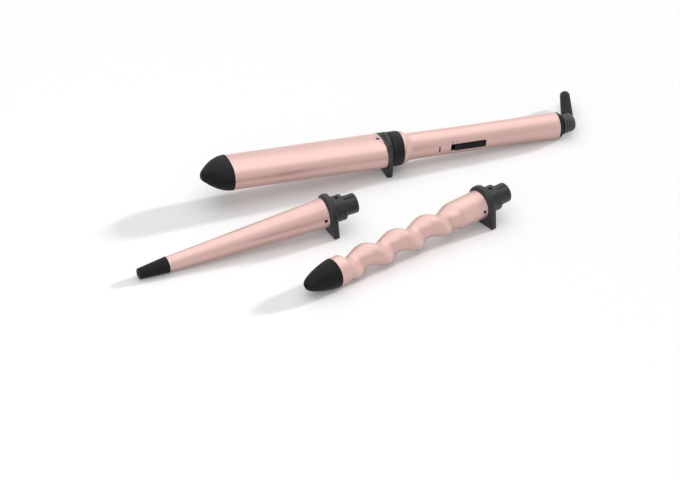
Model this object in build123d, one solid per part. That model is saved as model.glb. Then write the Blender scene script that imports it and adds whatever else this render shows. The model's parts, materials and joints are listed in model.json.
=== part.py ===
from build123d import *
import os
from math import asin, cos, degrees, pi, radians, sin, sqrt

# A curling wand kit: a handle with a wide oval barrel locked into it, and two spare barrels
# lying beside it, a cone and a corkscrew.
#
# Every assembly is built on its own barrel axis: X runs from the cool tip towards the cord,
# x = 0 is where the heated tube meets its black base, Z is up with the foot below, and -Y is
# the side that carries the slide switch. Each assembly is then tilted until its foot and its
# far end both touch the table. The row's origin is the middle of the kit's footprint on the
# table, its X axis is the handle's heading and +Z is up. Lengths are in millimetres.

os.makedirs("parts", exist_ok=True)

# ------------------------------------------------------------------ barrels
CONE_LENGTH = 138.5         # heated length of the conical barrel
CONE_TIP_RADIUS = 6.5
CONE_BASE_RADIUS = 12.5
SPIRAL_LENGTH = 150.0       # heated length of the corkscrew barrel
SPIRAL_RADIUS = 12.1        # its plain ends
SPIRAL_CORE_RADIUS = 10.4    # round bar whose centre runs round the helix
SPIRAL_THROW = 1.7          # how far that centre stands off the axis
SPIRAL_PITCH = 31.0         # right-handed
SPIRAL_RING = 7.5           # plain ring next to the tip
SPIRAL_PLAIN = 24.0         # plain stretch next to the base
SPIRAL_BLEND = 9.0          # run-out of the helix into each plain end
SPIRAL_RIDGE_X = -52.5      # a ridge is uppermost here
OVAL_LENGTH = 133.5         # heated length of the oval barrel
OVAL_HALF_WIDTH = 18.3
OVAL_HALF_HEIGHT = 11.9
OVAL_END_SHARE = 0.93       # radius of its side arcs, as a share of the half height
TUBE_WALL = 1.2
SPIRAL_BORE_RADIUS = 5.4    # cast barrel, bored for its narrow heater

# ------------------------------------------------------------------ cool tips
CONE_TIP_LENGTH = 25.5
CONE_TIP_END_RADIUS = 4.6
SPIRAL_TIP_LENGTH = 28.0
OVAL_TIP_LENGTH = 24.0
TIP_FLAT_RADIUS = 3.1       # flat end that holds the screw
TIP_LIP = 0.3               # tips and bases stand this proud of their tube
TIP_SPIGOT = 7.0
TIP_SCREW_HEAD_RADIUS = 1.7
TIP_SCREW_SHANK_RADIUS = 1.0

# ------------------------------------------------------------------ barrel bases
FLANGE_START = 1.2          # front and back planes of the foot plate
FLANGE_BACK = 6.4
RIM_RADIUS = 15.0           # flange, nearly flush with the lock ring
FOOT_HEIGHT = 18.8          # axis to sole
FOOT_ROUND = 1.2
SPIGOT_LENGTH = 12.0
SPIGOT_WALL = 1.6
COUPLING_RADIUS = 10.9
COUPLING_END = 17.0
PLUG_RADIUS = 8.3
PLUG_END = 28.4
PLUG_WALL = 1.25
PLUG_FLOOR = 20.6           # bottom of the plug's mouth
KEY_WIDTH = 4.0             # rib along the top of the plug
KEY_HEIGHT = 0.5
PIN_RADIUS = 0.9
PIN_OFFSET = 4.0
PIN_START = 14.4
PIN_TIP_RECESS = 1.0
BASE_SCREW_X = -3.4
BASE_SCREW_RADIUS = 1.6
WIRE_RADIUS = 0.6

# ------------------------------------------------------------------ heaters
HEATER_START = -14.0        # end of the heater that faces the base
HEATER_THICKNESS = {"cone": 3.0, "spiral": 2.4, "oval": 4.0}
HEATER_HALF_WIDTH = {"cone": 4.6, "spiral": 4.5, "oval": 11.0}
FUSE_RADIUS = 1.5
FUSE_START = -8.0
FUSE_END = 0.5
ANCHOR_LENGTH = 5.0         # block that the tip screw bites into
SPREADER_PLATE = 4.6        # the oval barrel's spreaders are hollow beyond this height

# ------------------------------------------------------------------ handle
FIT_GAP = 0.08              # radial gap of a fit that slides or turns
SEAT_GAP = 0.15             # radial gap of a glued or screwed seat
FACE_GAP = 0.3              # gap between faces that pass each other
SOCKET_WALL = 1.2
SOCKET_END = 38.4
CORE_RADIUS = 6.8           # socket core that enters the plug's mouth
CONTACT_WALL = 0.45
CONTACT_TAIL = 4.0
RING_RADIUS = 14.7          # twist ring that locks the barrel
RING_BACK = 16.4
RING_ROUND = 2.4
LATCH_X = 11.8
LATCH_RADIUS = 1.2
LATCH_TRAVEL = 1.2
LATCH_TURN = 40.0           # degrees of ring twist that drive the latch in
LATCH_ROLL = 4.0           # latch is this far round from the top, towards the switch side
CLIP_X = 7.7
CLIP_THICKNESS = 0.8
NECK_RADIUS = 13.9          # flare behind the ring
NECK_END = 26.0
GRIP_NECK_RADIUS = 11.35
GRIP_WAIST_RADIUS = 10.9
GRIP_WAIST_X = 86.0
GRIP_END_RADIUS = 11.3
GRIP_END = 158.5
GRIP_BORE_RADIUS = 8.7
BOARD_THICKNESS = 1.6
BOARD_FRONT = 0.4           # board lies between the two chassis halves
BOARD_HALF_HEIGHT = 7.6
CHASSIS_RADIUS = 8.55
CHASSIS_WALL = 1.3
CHASSIS_START = 43.0
CHASSIS_TO_GRIP_END = 24.5  # room behind the chassis for the brushes and the end cap
CHASSIS_SCREW_INSETS = (11.5, 10.0)   # from the chassis ends
SWITCH_START = 62.4         # slide knob
SWITCH_LENGTH = 28.0
SWITCH_HALF_HEIGHT = 3.0
SWITCH_TRAVEL = 3.2
SWITCH_GAP = 0.25
SWITCH_PROUD = 0.55
SWITCH_ROLL = -4.0          # turned down a little from the side
LAMP_X = 48.8
LAMP_LENGTH = 1.5
LAMP_HALF_HEIGHT = 2.7

# ------------------------------------------------------------------ cord swivel
END_CAP_LENGTH = 3.6
END_CAP_FACE_RADIUS = 8.4
END_CAP_SPIGOT = 9.0
SWIVEL_SHAFT_RADIUS = 3.5
SWIVEL_SHAFT_REACH = 21.5   # how far the shaft reaches in from the grip's end
SWIVEL_BORE_RADIUS = 1.7
SLIP_RING_WALL = 0.9
SLIP_RING_WIDTH = 2.0
SLIP_RING_PLACES = (1.5, 6.0)   # from the shaft's inner end
BUSH_WALL = 1.1
BUSH_FLANGE_WALL = 1.0
BUSH_FLANGE_THICKNESS = 0.9
ELBOW_GAP = 0.2             # between the bush and the turning elbow
ELBOW_START_RADIUS = 8.7
ELBOW_LENGTH = 11.3
ELBOW_END_RADIUS = 6.4
CORD_INSET = 6.4            # from the elbow's front to where the cord's line crosses the axis
CORD_LEAN = 20.0            # degrees that line leans back from square
CORD_RADIUS = 3.1           # bore for the cord
BOSS_RADIUS = 5.4
BOSS_REACH = 8.5            # measured from the handle axis along the cord's line
BOOT_REACH = 50.0
BOOT_START_RADIUS = 5.2
BOOT_END_RADIUS = 4.3
BOOT_RIBS = 10
BOOT_RIB_START = 18.0
BOOT_RIB_STEP = 2.4
BOOT_RIB_GAP = 0.9
BOOT_RIB_DEPTH = 0.6

# ------------------------------------------------------------------ layout on the table
SPARE_PLACES = {            # heading from the handle's, and the tube's end, from the wand's
    "cone": (5.2, (-77.6, -75.3)),
    "spiral": (18.2, (45.0, -106.8)),
}

# ------------------------------------------------------------------ worked out
COUPLING_BORE = COUPLING_RADIUS + FIT_GAP
SOCKET_RADIUS = COUPLING_BORE + SOCKET_WALL
SOCKET_TAIL_RADIUS = PLUG_RADIUS + FIT_GAP + KEY_HEIGHT + SOCKET_WALL
SOCKET_FRONT = FLANGE_BACK + FACE_GAP
SOCKET_STEP = COUPLING_END + FACE_GAP
RING_BORE = SOCKET_RADIUS + FIT_GAP
PIN_PLACES = [(PIN_OFFSET, 0.0), (-PIN_OFFSET, 0.0), (0.0, PIN_OFFSET), (0.0, -PIN_OFFSET)]
PIN_END = PLUG_END - PIN_TIP_RECESS
CONTACT_BORE = PIN_RADIUS + FIT_GAP
CONTACT_RADIUS = CONTACT_BORE + CONTACT_WALL
CORE_FRONT = PLUG_FLOOR + FACE_GAP
NECK_START = RING_BACK + FACE_GAP
BOARD_BACK = BOARD_FRONT + BOARD_THICKNESS
CAP_BACK = GRIP_END + END_CAP_LENGTH
ELBOW_START = CAP_BACK + BUSH_FLANGE_THICKNESS + ELBOW_GAP
ELBOW_END = ELBOW_START + ELBOW_LENGTH
CORD_X = ELBOW_START + CORD_INSET
CHASSIS_END = GRIP_END - CHASSIS_TO_GRIP_END
CHASSIS_SCREW_XS = (CHASSIS_START + CHASSIS_SCREW_INSETS[0], CHASSIS_END - CHASSIS_SCREW_INSETS[1])
SWIVEL_SHAFT_START = GRIP_END - SWIVEL_SHAFT_REACH
SLIP_RING_RADIUS = SWIVEL_SHAFT_RADIUS + SLIP_RING_WALL
SLIP_RING_XS = tuple(SWIVEL_SHAFT_START + place for place in SLIP_RING_PLACES)
BUSH_RADIUS = SWIVEL_SHAFT_RADIUS + BUSH_WALL
BUSH_FLANGE_RADIUS = BUSH_RADIUS + BUSH_FLANGE_WALL
BOARD_START = CHASSIS_START + 4.5
BOARD_END = CHASSIS_END - 6.0


# ------------------------------------------------------------------ shapes on the X axis
def turned(*outline):
    """Solid turned about X from the corners (x, radius) of half its section."""
    return revolve(make_face(Polyline(*outline, close=True)), Axis.X)


def rod(radius, start, end, y=0.0, z=0.0):
    """Round bar along X."""
    return Pos((start + end) / 2, y, z) * Rot(0, 90, 0) * Cylinder(radius, end - start)


def tube(radius, bore, start, end, y=0.0, z=0.0):
    """Round tube along X."""
    return rod(radius, start, end, y, z) - rod(bore, start - 1, end + 1, y, z)


def block(x_range, y_range, z_range):
    """Box between two corners, given as ranges along X, Y and Z."""
    spans = [high - low for low, high in (x_range, y_range, z_range)]
    middle = [(high + low) / 2 for low, high in (x_range, y_range, z_range)]
    return Pos(*middle) * Box(*spans)


def spoke(radius, start, end, x, roll):
    """Round bar square to the axis at x. A roll of 0 points to -Y and 90 points up."""
    along = Pos(0, 0, (start + end) / 2) * Cylinder(radius, end - start)
    return Pos(x, 0, 0) * Rot(X=-roll) * Rot(X=90) * along


def oval_section(x, half_width, half_height):
    """Face across the axis, bounded by four tangent arcs, or by a circle cut in four."""
    if half_width == half_height:
        corner = (half_width * sqrt(0.5), half_width * sqrt(0.5))
    else:
        end = OVAL_END_SHARE * half_height
        reach = half_width - end
        crown = (reach**2 + half_height**2 - end**2) / (2 * (half_height - end))
        share = 1 / (crown - end)
        corner = (crown * reach * share, (crown - half_height) * end * share)
    y, z = corner
    arcs = [
        ThreePointArc((-y, z), (0, half_height), (y, z)),
        ThreePointArc((y, z), (half_width, 0), (y, -z)),
        ThreePointArc((y, -z), (0, -half_height), (-y, -z)),
        ThreePointArc((-y, -z), (-half_width, 0), (-y, z)),
    ]
    plane = Plane(origin=(x, 0, 0), x_dir=(0, 1, 0), z_dir=(1, 0, 0))
    return plane * make_face(arcs)


def oval_bar(start, end, half_width, half_height):
    """Bar of oval section along X."""
    return extrude(oval_section(start, half_width, half_height), end - start)


# ------------------------------------------------------------------ barrel bases and couplings
def foot_plate(rim, front, back):
    """Flange with a round top and a square foot that the hot barrel stands on."""
    plate = rod(rim, front, back) + block((front, back), (-rim, rim), (-FOOT_HEIGHT, 0))
    return fillet(plate.edges().filter_by(Axis.X, reverse=True), FOOT_ROUND)


def coupling():
    """Stepped plug behind the flange, hollow for the pins and the leads."""
    edge = 0.6
    body = turned(
        (FLANGE_BACK - 1, 0), (FLANGE_BACK - 1, COUPLING_RADIUS),
        (COUPLING_END - edge, COUPLING_RADIUS), (COUPLING_END, COUPLING_RADIUS - edge),
        (COUPLING_END, PLUG_RADIUS), (PLUG_END - edge, PLUG_RADIUS),
        (PLUG_END, PLUG_RADIUS - edge), (PLUG_END, 0),
    )
    key_top = PLUG_RADIUS + KEY_HEIGHT
    body += block((COUPLING_END - 1, PLUG_END - 1.5), (-KEY_WIDTH / 2, KEY_WIDTH / 2),
                  (PLUG_RADIUS - 2, key_top))
    body -= rod(PLUG_RADIUS - PLUG_WALL, PLUG_FLOOR, PLUG_END + 1)
    latch_depth = LATCH_TRAVEL + FACE_GAP
    body -= spoke(LATCH_RADIUS + FACE_GAP, COUPLING_RADIUS - latch_depth, COUPLING_RADIUS + 2,
                  LATCH_X, 90 - LATCH_ROLL)
    return body


def hollowed_base(outside, spigot_bore):
    """Cuts the wire space and the pin holes into a barrel base."""
    body = outside - rod(spigot_bore, -SPIGOT_LENGTH - 1, PIN_START)
    for y, z in PIN_PLACES:
        body -= rod(PIN_RADIUS, PIN_START - 1, PLUG_FLOOR + 1, y, z)
    return body


def flare(tube_radius):
    """Round shoulder between a tube's end and the flange of a spare barrel."""
    return turned((0, 0), (0, tube_radius + TIP_LIP), (FLANGE_START + FOOT_ROUND, RIM_RADIUS),
                  (FLANGE_BACK - FOOT_ROUND, RIM_RADIUS), (FLANGE_BACK - FOOT_ROUND, 0))


def base_screw(roll, outer_radius):
    """Short screw through the tube into the spigot, its head just below the surface."""
    head = spoke(BASE_SCREW_RADIUS, outer_radius - TUBE_WALL, outer_radius - 0.5,
                 BASE_SCREW_X, roll)
    shank = spoke(0.8, outer_radius - TUBE_WALL - SPIGOT_WALL + 0.2, outer_radius - 1.0,
                  BASE_SCREW_X, roll)
    return head + shank


def screw_hole(roll, outer_radius):
    """Clearance in the tube for the base screw."""
    return spoke(BASE_SCREW_RADIUS, outer_radius - TUBE_WALL - 0.4, outer_radius + 2,
                 BASE_SCREW_X, roll)


def shank_hole(roll, outer_radius):
    """Threaded hole in the spigot for the base screw."""
    return spoke(0.8, outer_radius - TUBE_WALL - SPIGOT_WALL - 2, outer_radius + 2,
                 BASE_SCREW_X, roll)


def tip_holes(end_x, anchor_x):
    """Screw hole through a cool tip: a wide recess from the end, then the shank's bore."""
    recess = rod(TIP_SCREW_HEAD_RADIUS + 0.1, end_x - 1, anchor_x - TIP_SPIGOT)
    return recess + rod(TIP_SCREW_SHANK_RADIUS, end_x, anchor_x + ANCHOR_LENGTH)


def shared_barrel_parts(name, tip_end, length, anchor, core):
    """Pieces that every barrel holds inside; anchor and core are solids that fill the tube."""
    thick = HEATER_THICKNESS[name] / 2
    wide = HEATER_HALF_WIDTH[name]
    heater_end = -length + TIP_SPIGOT + ANCHOR_LENGTH
    slot = block((-length, 0), (-50, 50), (-thick, thick))
    seat = -length + TIP_SPIGOT
    head = rod(TIP_SCREW_HEAD_RADIUS, seat - TIP_SPIGOT - 1.5, seat - TIP_SPIGOT)
    shank = rod(TIP_SCREW_SHANK_RADIUS, seat - TIP_SPIGOT, seat + ANCHOR_LENGTH - 1)
    leads = Part() + rod(WIRE_RADIUS, HEATER_START, PIN_START, PIN_OFFSET)
    leads += rod(WIRE_RADIUS, HEATER_START, FUSE_START, -PIN_OFFSET)
    leads += rod(WIRE_RADIUS, FUSE_END, PIN_START, -PIN_OFFSET)
    pins = Part()
    for y, z in PIN_PLACES:
        pins += rod(PIN_RADIUS, PIN_START, PIN_END, y, z)
    return {
        f"{name}_heater": block((heater_end, HEATER_START), (-wide, wide), (-thick, thick)),
        f"{name}_heat_spreaders": core - slot,
        f"{name}_tip_anchor": anchor - rod(TIP_SCREW_SHANK_RADIUS, -length, 0),
        f"{name}_tip_screw": head + shank,
        f"{name}_leads": leads,
        f"{name}_thermal_fuse": rod(FUSE_RADIUS, FUSE_START, FUSE_END, -PIN_OFFSET),
        f"{name}_contact_pins": pins,
    }


# ------------------------------------------------------------------ conical barrel
def cone_radius(x):
    """Outer radius of the conical tube at x."""
    return CONE_BASE_RADIUS + x * (CONE_BASE_RADIUS - CONE_TIP_RADIUS) / CONE_LENGTH


def cone_fill(start, end, gap=SEAT_GAP):
    """Frustum that fills the conical tube's inside from start to end."""
    return turned((start, 0), (start, cone_radius(start) - TUBE_WALL - gap),
                  (end, cone_radius(end) - TUBE_WALL - gap), (end, 0))


def cone_barrel():
    """Spare conical barrel."""
    length = CONE_LENGTH
    tip_end = -length - CONE_TIP_LENGTH
    tube_solid = turned((-length, 0), (-length, CONE_TIP_RADIUS), (0, CONE_BASE_RADIUS), (0, 0))
    tube_solid -= turned((-length - 1, 0), (-length - 1, cone_radius(-length - 1) - TUBE_WALL),
                         (1, cone_radius(1) - TUBE_WALL), (1, 0))
    tube_solid -= screw_hole(0, cone_radius(BASE_SCREW_X))
    tip_radius = CONE_TIP_RADIUS + TIP_LIP
    edge = 1.2
    tip = turned((tip_end, 0), (tip_end, CONE_TIP_END_RADIUS - edge),
                 (tip_end + edge, CONE_TIP_END_RADIUS), (-length, tip_radius), (-length, 0))
    tip += cone_fill(-length, -length + TIP_SPIGOT)
    tip -= tip_holes(tip_end, -length + TIP_SPIGOT)
    base = foot_plate(RIM_RADIUS, FLANGE_START, FLANGE_BACK) + flare(CONE_BASE_RADIUS)
    base += coupling() + cone_fill(-SPIGOT_LENGTH, 0.5, 2 * SEAT_GAP)
    base = hollowed_base(base, cone_radius(-SPIGOT_LENGTH) - TUBE_WALL - SPIGOT_WALL)
    base -= shank_hole(0, cone_radius(BASE_SCREW_X))
    anchor_start = -length + TIP_SPIGOT
    core = cone_fill(anchor_start + ANCHOR_LENGTH, HEATER_START)
    parts = {"cone_tube": tube_solid, "cone_tip": tip, "cone_base": base,
             "cone_base_screw": base_screw(0, cone_radius(BASE_SCREW_X))}
    anchor = cone_fill(anchor_start, anchor_start + ANCHOR_LENGTH)
    return parts | shared_barrel_parts("cone", tip_end, length, anchor, core)


# ------------------------------------------------------------------ corkscrew barrel
def spiral_section(x):
    """Circle across the axis whose centre runs round the helix, plain outside the twisted run."""
    twisted_start = -SPIRAL_LENGTH + SPIRAL_RING
    from_tip = (x - twisted_start) / SPIRAL_BLEND
    from_base = (-SPIRAL_PLAIN - x) / SPIRAL_BLEND
    share = max(0.0, min(1.0, from_tip, from_base))
    share = share * share * (3 - 2 * share)
    angle = 2 * pi * (x - SPIRAL_RIDGE_X) / SPIRAL_PITCH
    radius = SPIRAL_RADIUS + share * (SPIRAL_CORE_RADIUS - SPIRAL_RADIUS)
    centre = (x, -share * SPIRAL_THROW * sin(angle), share * SPIRAL_THROW * cos(angle))
    plane = Plane(origin=centre, x_dir=(0, 1, 0), z_dir=(1, 0, 0))
    return plane * Circle(radius)


def twisted_bar():
    """Solid of the corkscrew barrel between its plain ends."""
    start = -SPIRAL_LENGTH + SPIRAL_RING
    span = -SPIRAL_PLAIN - start
    count = round(span / SPIRAL_PITCH * 12)
    return loft([spiral_section(start + span * i / count) for i in range(count + 1)])


def spiral_barrel():
    """Spare corkscrew barrel."""
    length = SPIRAL_LENGTH
    ring_end = -length + SPIRAL_RING
    bar = twisted_bar() + rod(SPIRAL_RADIUS, -length, ring_end)
    bar += rod(SPIRAL_RADIUS, -SPIRAL_PLAIN, 0)
    collar_radius = SPIRAL_RADIUS - TUBE_WALL
    bar -= rod(SPIRAL_BORE_RADIUS, -length - 1, 1)
    bar -= rod(collar_radius, -SPIGOT_LENGTH, 1)
    bar -= screw_hole(0, SPIRAL_RADIUS)
    tip_radius = SPIRAL_RADIUS + TIP_LIP
    tip_end = -length - SPIRAL_TIP_LENGTH
    nose = [(tip_end + SPIRAL_TIP_LENGTH * u, 0) for u in (0.0, 1.0)]
    profile = Spline(
        (-length, tip_radius), (-length - 0.35 * SPIRAL_TIP_LENGTH, 0.9 * tip_radius),
        (-length - 0.75 * SPIRAL_TIP_LENGTH, 0.62 * tip_radius), (tip_end, TIP_FLAT_RADIUS),
        tangents=((-1, 0), (-0.35, -1)),
    )
    outline = [profile, Polyline((tip_end, TIP_FLAT_RADIUS), *nose, (-length, tip_radius))]
    tip = revolve(make_face(outline), Axis.X)
    tip += rod(SPIRAL_BORE_RADIUS - SEAT_GAP, -length - 1, -length + TIP_SPIGOT)
    tip -= tip_holes(tip_end, -length + TIP_SPIGOT)
    base = foot_plate(RIM_RADIUS, FLANGE_START, FLANGE_BACK) + flare(SPIRAL_RADIUS)
    base += coupling() + rod(collar_radius - SEAT_GAP, -SPIGOT_LENGTH, FLANGE_BACK)
    base = hollowed_base(base, SPIRAL_BORE_RADIUS + 0.6)
    base -= shank_hole(0, SPIRAL_RADIUS)
    anchor_start = -length + TIP_SPIGOT
    fill = SPIRAL_BORE_RADIUS - SEAT_GAP
    core = rod(fill, anchor_start + ANCHOR_LENGTH, HEATER_START)
    parts = {"spiral_tube": bar, "spiral_tip": tip, "spiral_base": base,
             "spiral_base_screw": base_screw(0, SPIRAL_RADIUS)}
    anchor = rod(fill, anchor_start, anchor_start + ANCHOR_LENGTH)
    return parts | shared_barrel_parts("spiral", tip_end, length, anchor, core)


# ------------------------------------------------------------------ oval barrel
def oval_fill(start, end, inset):
    """Oval bar that stands inset from the tube's outside."""
    return oval_bar(start, end, OVAL_HALF_WIDTH - inset, OVAL_HALF_HEIGHT - inset)


def oval_nose():
    """Parabolic cool tip of oval section, lofted to its small flat end."""
    sections = []
    for share in (0.0, 0.2, 0.4, 0.6, 0.8, 1.0):
        size = 1 - share**2
        width = TIP_FLAT_RADIUS + (OVAL_HALF_WIDTH + TIP_LIP - TIP_FLAT_RADIUS) * size
        height = TIP_FLAT_RADIUS + (OVAL_HALF_HEIGHT + TIP_LIP - TIP_FLAT_RADIUS) * size
        x = -OVAL_LENGTH - OVAL_TIP_LENGTH * share
        sections.append(oval_section(x, width, height))
    return loft(sections[::-1])


def oval_barrel():
    """Wide oval barrel that sits locked in the handle."""
    length = OVAL_LENGTH
    tip_end = -length - OVAL_TIP_LENGTH
    roll = 90
    skin = OVAL_HALF_HEIGHT
    tube_solid = oval_fill(-length, 0, 0) - oval_fill(-length - 1, 1, TUBE_WALL)
    tube_solid -= screw_hole(roll, skin)
    inset = TUBE_WALL + SEAT_GAP
    tip = oval_nose() + oval_fill(-length - 0.5, -length + TIP_SPIGOT, inset)
    tip -= tip_holes(tip_end, -length + TIP_SPIGOT)
    shoulder = loft([
        oval_section(0, OVAL_HALF_WIDTH + TIP_LIP, OVAL_HALF_HEIGHT + TIP_LIP),
        oval_section(FLANGE_BACK - 1.5, RIM_RADIUS, RIM_RADIUS),
    ])
    base = foot_plate(RIM_RADIUS, FLANGE_START, FLANGE_BACK) + shoulder
    base += coupling() + oval_fill(-SPIGOT_LENGTH, 1, inset)
    base -= oval_fill(-SPIGOT_LENGTH - 1, 0, inset + SPIGOT_WALL)
    base = hollowed_base(base, PIN_OFFSET + 2)
    base -= shank_hole(roll, skin)
    anchor_start = -length + TIP_SPIGOT
    core = oval_fill(anchor_start + ANCHOR_LENGTH, HEATER_START, inset)
    for side in (-1, 1):
        channel = sorted((side * SPREADER_PLATE, side * (OVAL_HALF_HEIGHT - 3.4)))
        core -= block((-length, 0), (-HEATER_HALF_WIDTH["oval"], HEATER_HALF_WIDTH["oval"]),
                      channel)
    anchor = oval_fill(anchor_start, anchor_start + ANCHOR_LENGTH, inset)
    parts = {"oval_tube": tube_solid, "oval_tip": tip, "oval_base": base,
             "oval_base_screw": base_screw(roll, skin)}
    return parts | shared_barrel_parts("oval", tip_end, length, anchor, core)


# ------------------------------------------------------------------ handle: socket and lock
def socket():
    """Black socket in the handle's mouth, with the core that enters the barrel's plug."""
    slope = SOCKET_STEP + SOCKET_RADIUS - SOCKET_TAIL_RADIUS
    body = turned((SOCKET_FRONT, 0), (SOCKET_FRONT, SOCKET_RADIUS), (SOCKET_STEP, SOCKET_RADIUS),
                  (slope, SOCKET_TAIL_RADIUS), (SOCKET_END, SOCKET_TAIL_RADIUS), (SOCKET_END, 0))
    floor = PLUG_END + FACE_GAP
    body -= rod(COUPLING_BORE, SOCKET_FRONT - 1, SOCKET_STEP)
    body -= rod(PLUG_RADIUS + FIT_GAP, SOCKET_STEP - 1, floor)
    groove = KEY_WIDTH / 2 + FIT_GAP
    body -= block((SOCKET_STEP - 1, floor), (-groove, groove),
                  (PLUG_RADIUS - 2, PLUG_RADIUS + KEY_HEIGHT + FIT_GAP))
    body += rod(CORE_RADIUS, CORE_FRONT, floor + 1)
    for y, z in PIN_PLACES:
        body -= rod(CONTACT_RADIUS, CORE_FRONT - 1, SOCKET_END + 1, y, z)
    clip_bottom = SOCKET_RADIUS - 0.45
    body -= tube(SOCKET_RADIUS + 1, clip_bottom, CLIP_X - CLIP_THICKNESS / 2,
                 CLIP_X + CLIP_THICKNESS / 2)
    body -= spoke(LATCH_RADIUS + FIT_GAP, COUPLING_RADIUS - 2, SOCKET_RADIUS + 2, LATCH_X,
                  90 - LATCH_ROLL)
    return body


def snap_ring(radius, bore, x, mouth):
    """Split retaining ring across the axis at x, its mouth at the bottom."""
    ring = tube(radius, bore, x - CLIP_THICKNESS / 2, x + CLIP_THICKNESS / 2)
    return ring - block((x - 1, x + 1), (-mouth / 2, mouth / 2), (-radius - 1, 0))


def contact_sleeves():
    """Four brass sleeves that receive the barrel's pins."""
    sleeves = Part()
    for y, z in PIN_PLACES:
        sleeves += tube(CONTACT_RADIUS, CONTACT_BORE, CORE_FRONT, SOCKET_END + 1, y, z)
        sleeves += rod(CONTACT_RADIUS, SOCKET_END + 1, SOCKET_END + CONTACT_TAIL, y, z)
    return sleeves


def cam_point(turn, depth):
    """Point (y, z) on the ring's cam once the ring has turned that many degrees."""
    share = max(0.0, min(1.0, turn / LATCH_TURN))
    radius = SOCKET_RADIUS + LATCH_TRAVEL + depth - share * LATCH_TRAVEL
    roll = radians(90 - LATCH_ROLL + turn)
    return (-radius * cos(roll), radius * sin(roll))


def lock_ring():
    """Ring that turns on the socket and drives the latch pin in through its cam pocket."""
    soft = RING_ROUND
    outside = [
        Line((SOCKET_FRONT, RING_RADIUS - 0.5), (SOCKET_FRONT + 0.5, RING_RADIUS)),
        Line((SOCKET_FRONT + 0.5, RING_RADIUS), (RING_BACK - soft, RING_RADIUS)),
        Bezier((RING_BACK - soft, RING_RADIUS), (RING_BACK - 0.3 * soft, RING_RADIUS),
               (RING_BACK, RING_RADIUS - 0.15 * soft), (RING_BACK, RING_RADIUS - 0.4 * soft)),
        Polyline((RING_BACK, RING_RADIUS - 0.4 * soft), (RING_BACK, RING_BORE),
                 (SOCKET_FRONT, RING_BORE), (SOCKET_FRONT, RING_RADIUS - 0.5)),
    ]
    ring = revolve(make_face(outside), Axis.X)
    ring -= rod(SOCKET_RADIUS + 1.2, SOCKET_FRONT - 1, CLIP_X + CLIP_THICKNESS / 2 + 0.1)
    lead = 8.0
    turns = [-lead + (LATCH_TURN + 2 * lead) * i / 14 for i in range(15)]
    crest = [cam_point(turn, 0.25) for turn in turns]
    inner = [cam_point(turns[-1], -1.5), cam_point(LATCH_TURN / 2, -1.8),
             cam_point(turns[0], -LATCH_TRAVEL - 1.5)]
    plane = Plane(origin=(LATCH_X - LATCH_RADIUS - 0.3, 0, 0), x_dir=(0, 1, 0), z_dir=(1, 0, 0))
    pocket = make_face([Spline(*crest), Polyline(crest[-1], *inner, crest[0])])
    return ring - extrude(plane * pocket, 2 * LATCH_RADIUS + 0.6)


def latch_pin():
    """Pin that the ring pushes through the socket wall into the barrel's coupling."""
    start = COUPLING_BORE + 0.07
    pin = spoke(LATCH_RADIUS, start, SOCKET_RADIUS + LATCH_TRAVEL, LATCH_X, 90 - LATCH_ROLL)
    return fillet(pin.edges().filter_by(GeomType.CIRCLE), 0.5)


# ------------------------------------------------------------------ handle: grip and insides
def grip_outline():
    """Outer half section of the grip, from the neck behind the ring to its cord end."""
    edge = 0.5
    return [
        Line((NECK_START, NECK_RADIUS - edge), (NECK_START + edge, NECK_RADIUS)),
        Bezier((NECK_START + edge, NECK_RADIUS), (21.5, NECK_RADIUS),
               (20.0, GRIP_NECK_RADIUS + 0.05), (NECK_END, GRIP_NECK_RADIUS)),
        Spline((NECK_END, GRIP_NECK_RADIUS), (GRIP_WAIST_X, GRIP_WAIST_RADIUS),
               (GRIP_END - 0.4, GRIP_END_RADIUS), tangents=((1, -0.01), (1, 0.006))),
        Line((GRIP_END - 0.4, GRIP_END_RADIUS), (GRIP_END, GRIP_END_RADIUS - 0.4)),
    ]


def switch_side(solid):
    """Turns a solid built square to -Y round to the switch's own roll."""
    return Rot(X=-SWITCH_ROLL) * solid


def handle_sleeve():
    """Metallic grip, one tube with a flared neck and windows for the switch and the lamp."""
    mouth = SOCKET_RADIUS + 0.12
    tail = SOCKET_TAIL_RADIUS + 0.05
    slope = SOCKET_STEP + mouth - tail
    inside = Polyline(
        (GRIP_END, GRIP_END_RADIUS - 0.4), (GRIP_END, GRIP_BORE_RADIUS),
        (SOCKET_END + 0.1, GRIP_BORE_RADIUS), (SOCKET_END + 0.1, tail), (slope, tail),
        (SOCKET_STEP, mouth), (NECK_START, mouth), (NECK_START, NECK_RADIUS - 0.5),
    )
    sleeve = revolve(make_face([*grip_outline(), inside]), Axis.X)
    slot = SWITCH_HALF_HEIGHT + SWITCH_GAP
    sleeve -= switch_side(block(
        (SWITCH_START - SWITCH_TRAVEL - SWITCH_GAP, SWITCH_START + SWITCH_LENGTH + SWITCH_GAP),
        (-20, 0), (-slot, slot)))
    half = LAMP_LENGTH / 2
    sleeve -= switch_side(block((LAMP_X - half, LAMP_X + half), (-20, 0),
                                (-LAMP_HALF_HEIGHT, LAMP_HALF_HEIGHT)))
    return sleeve


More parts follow.
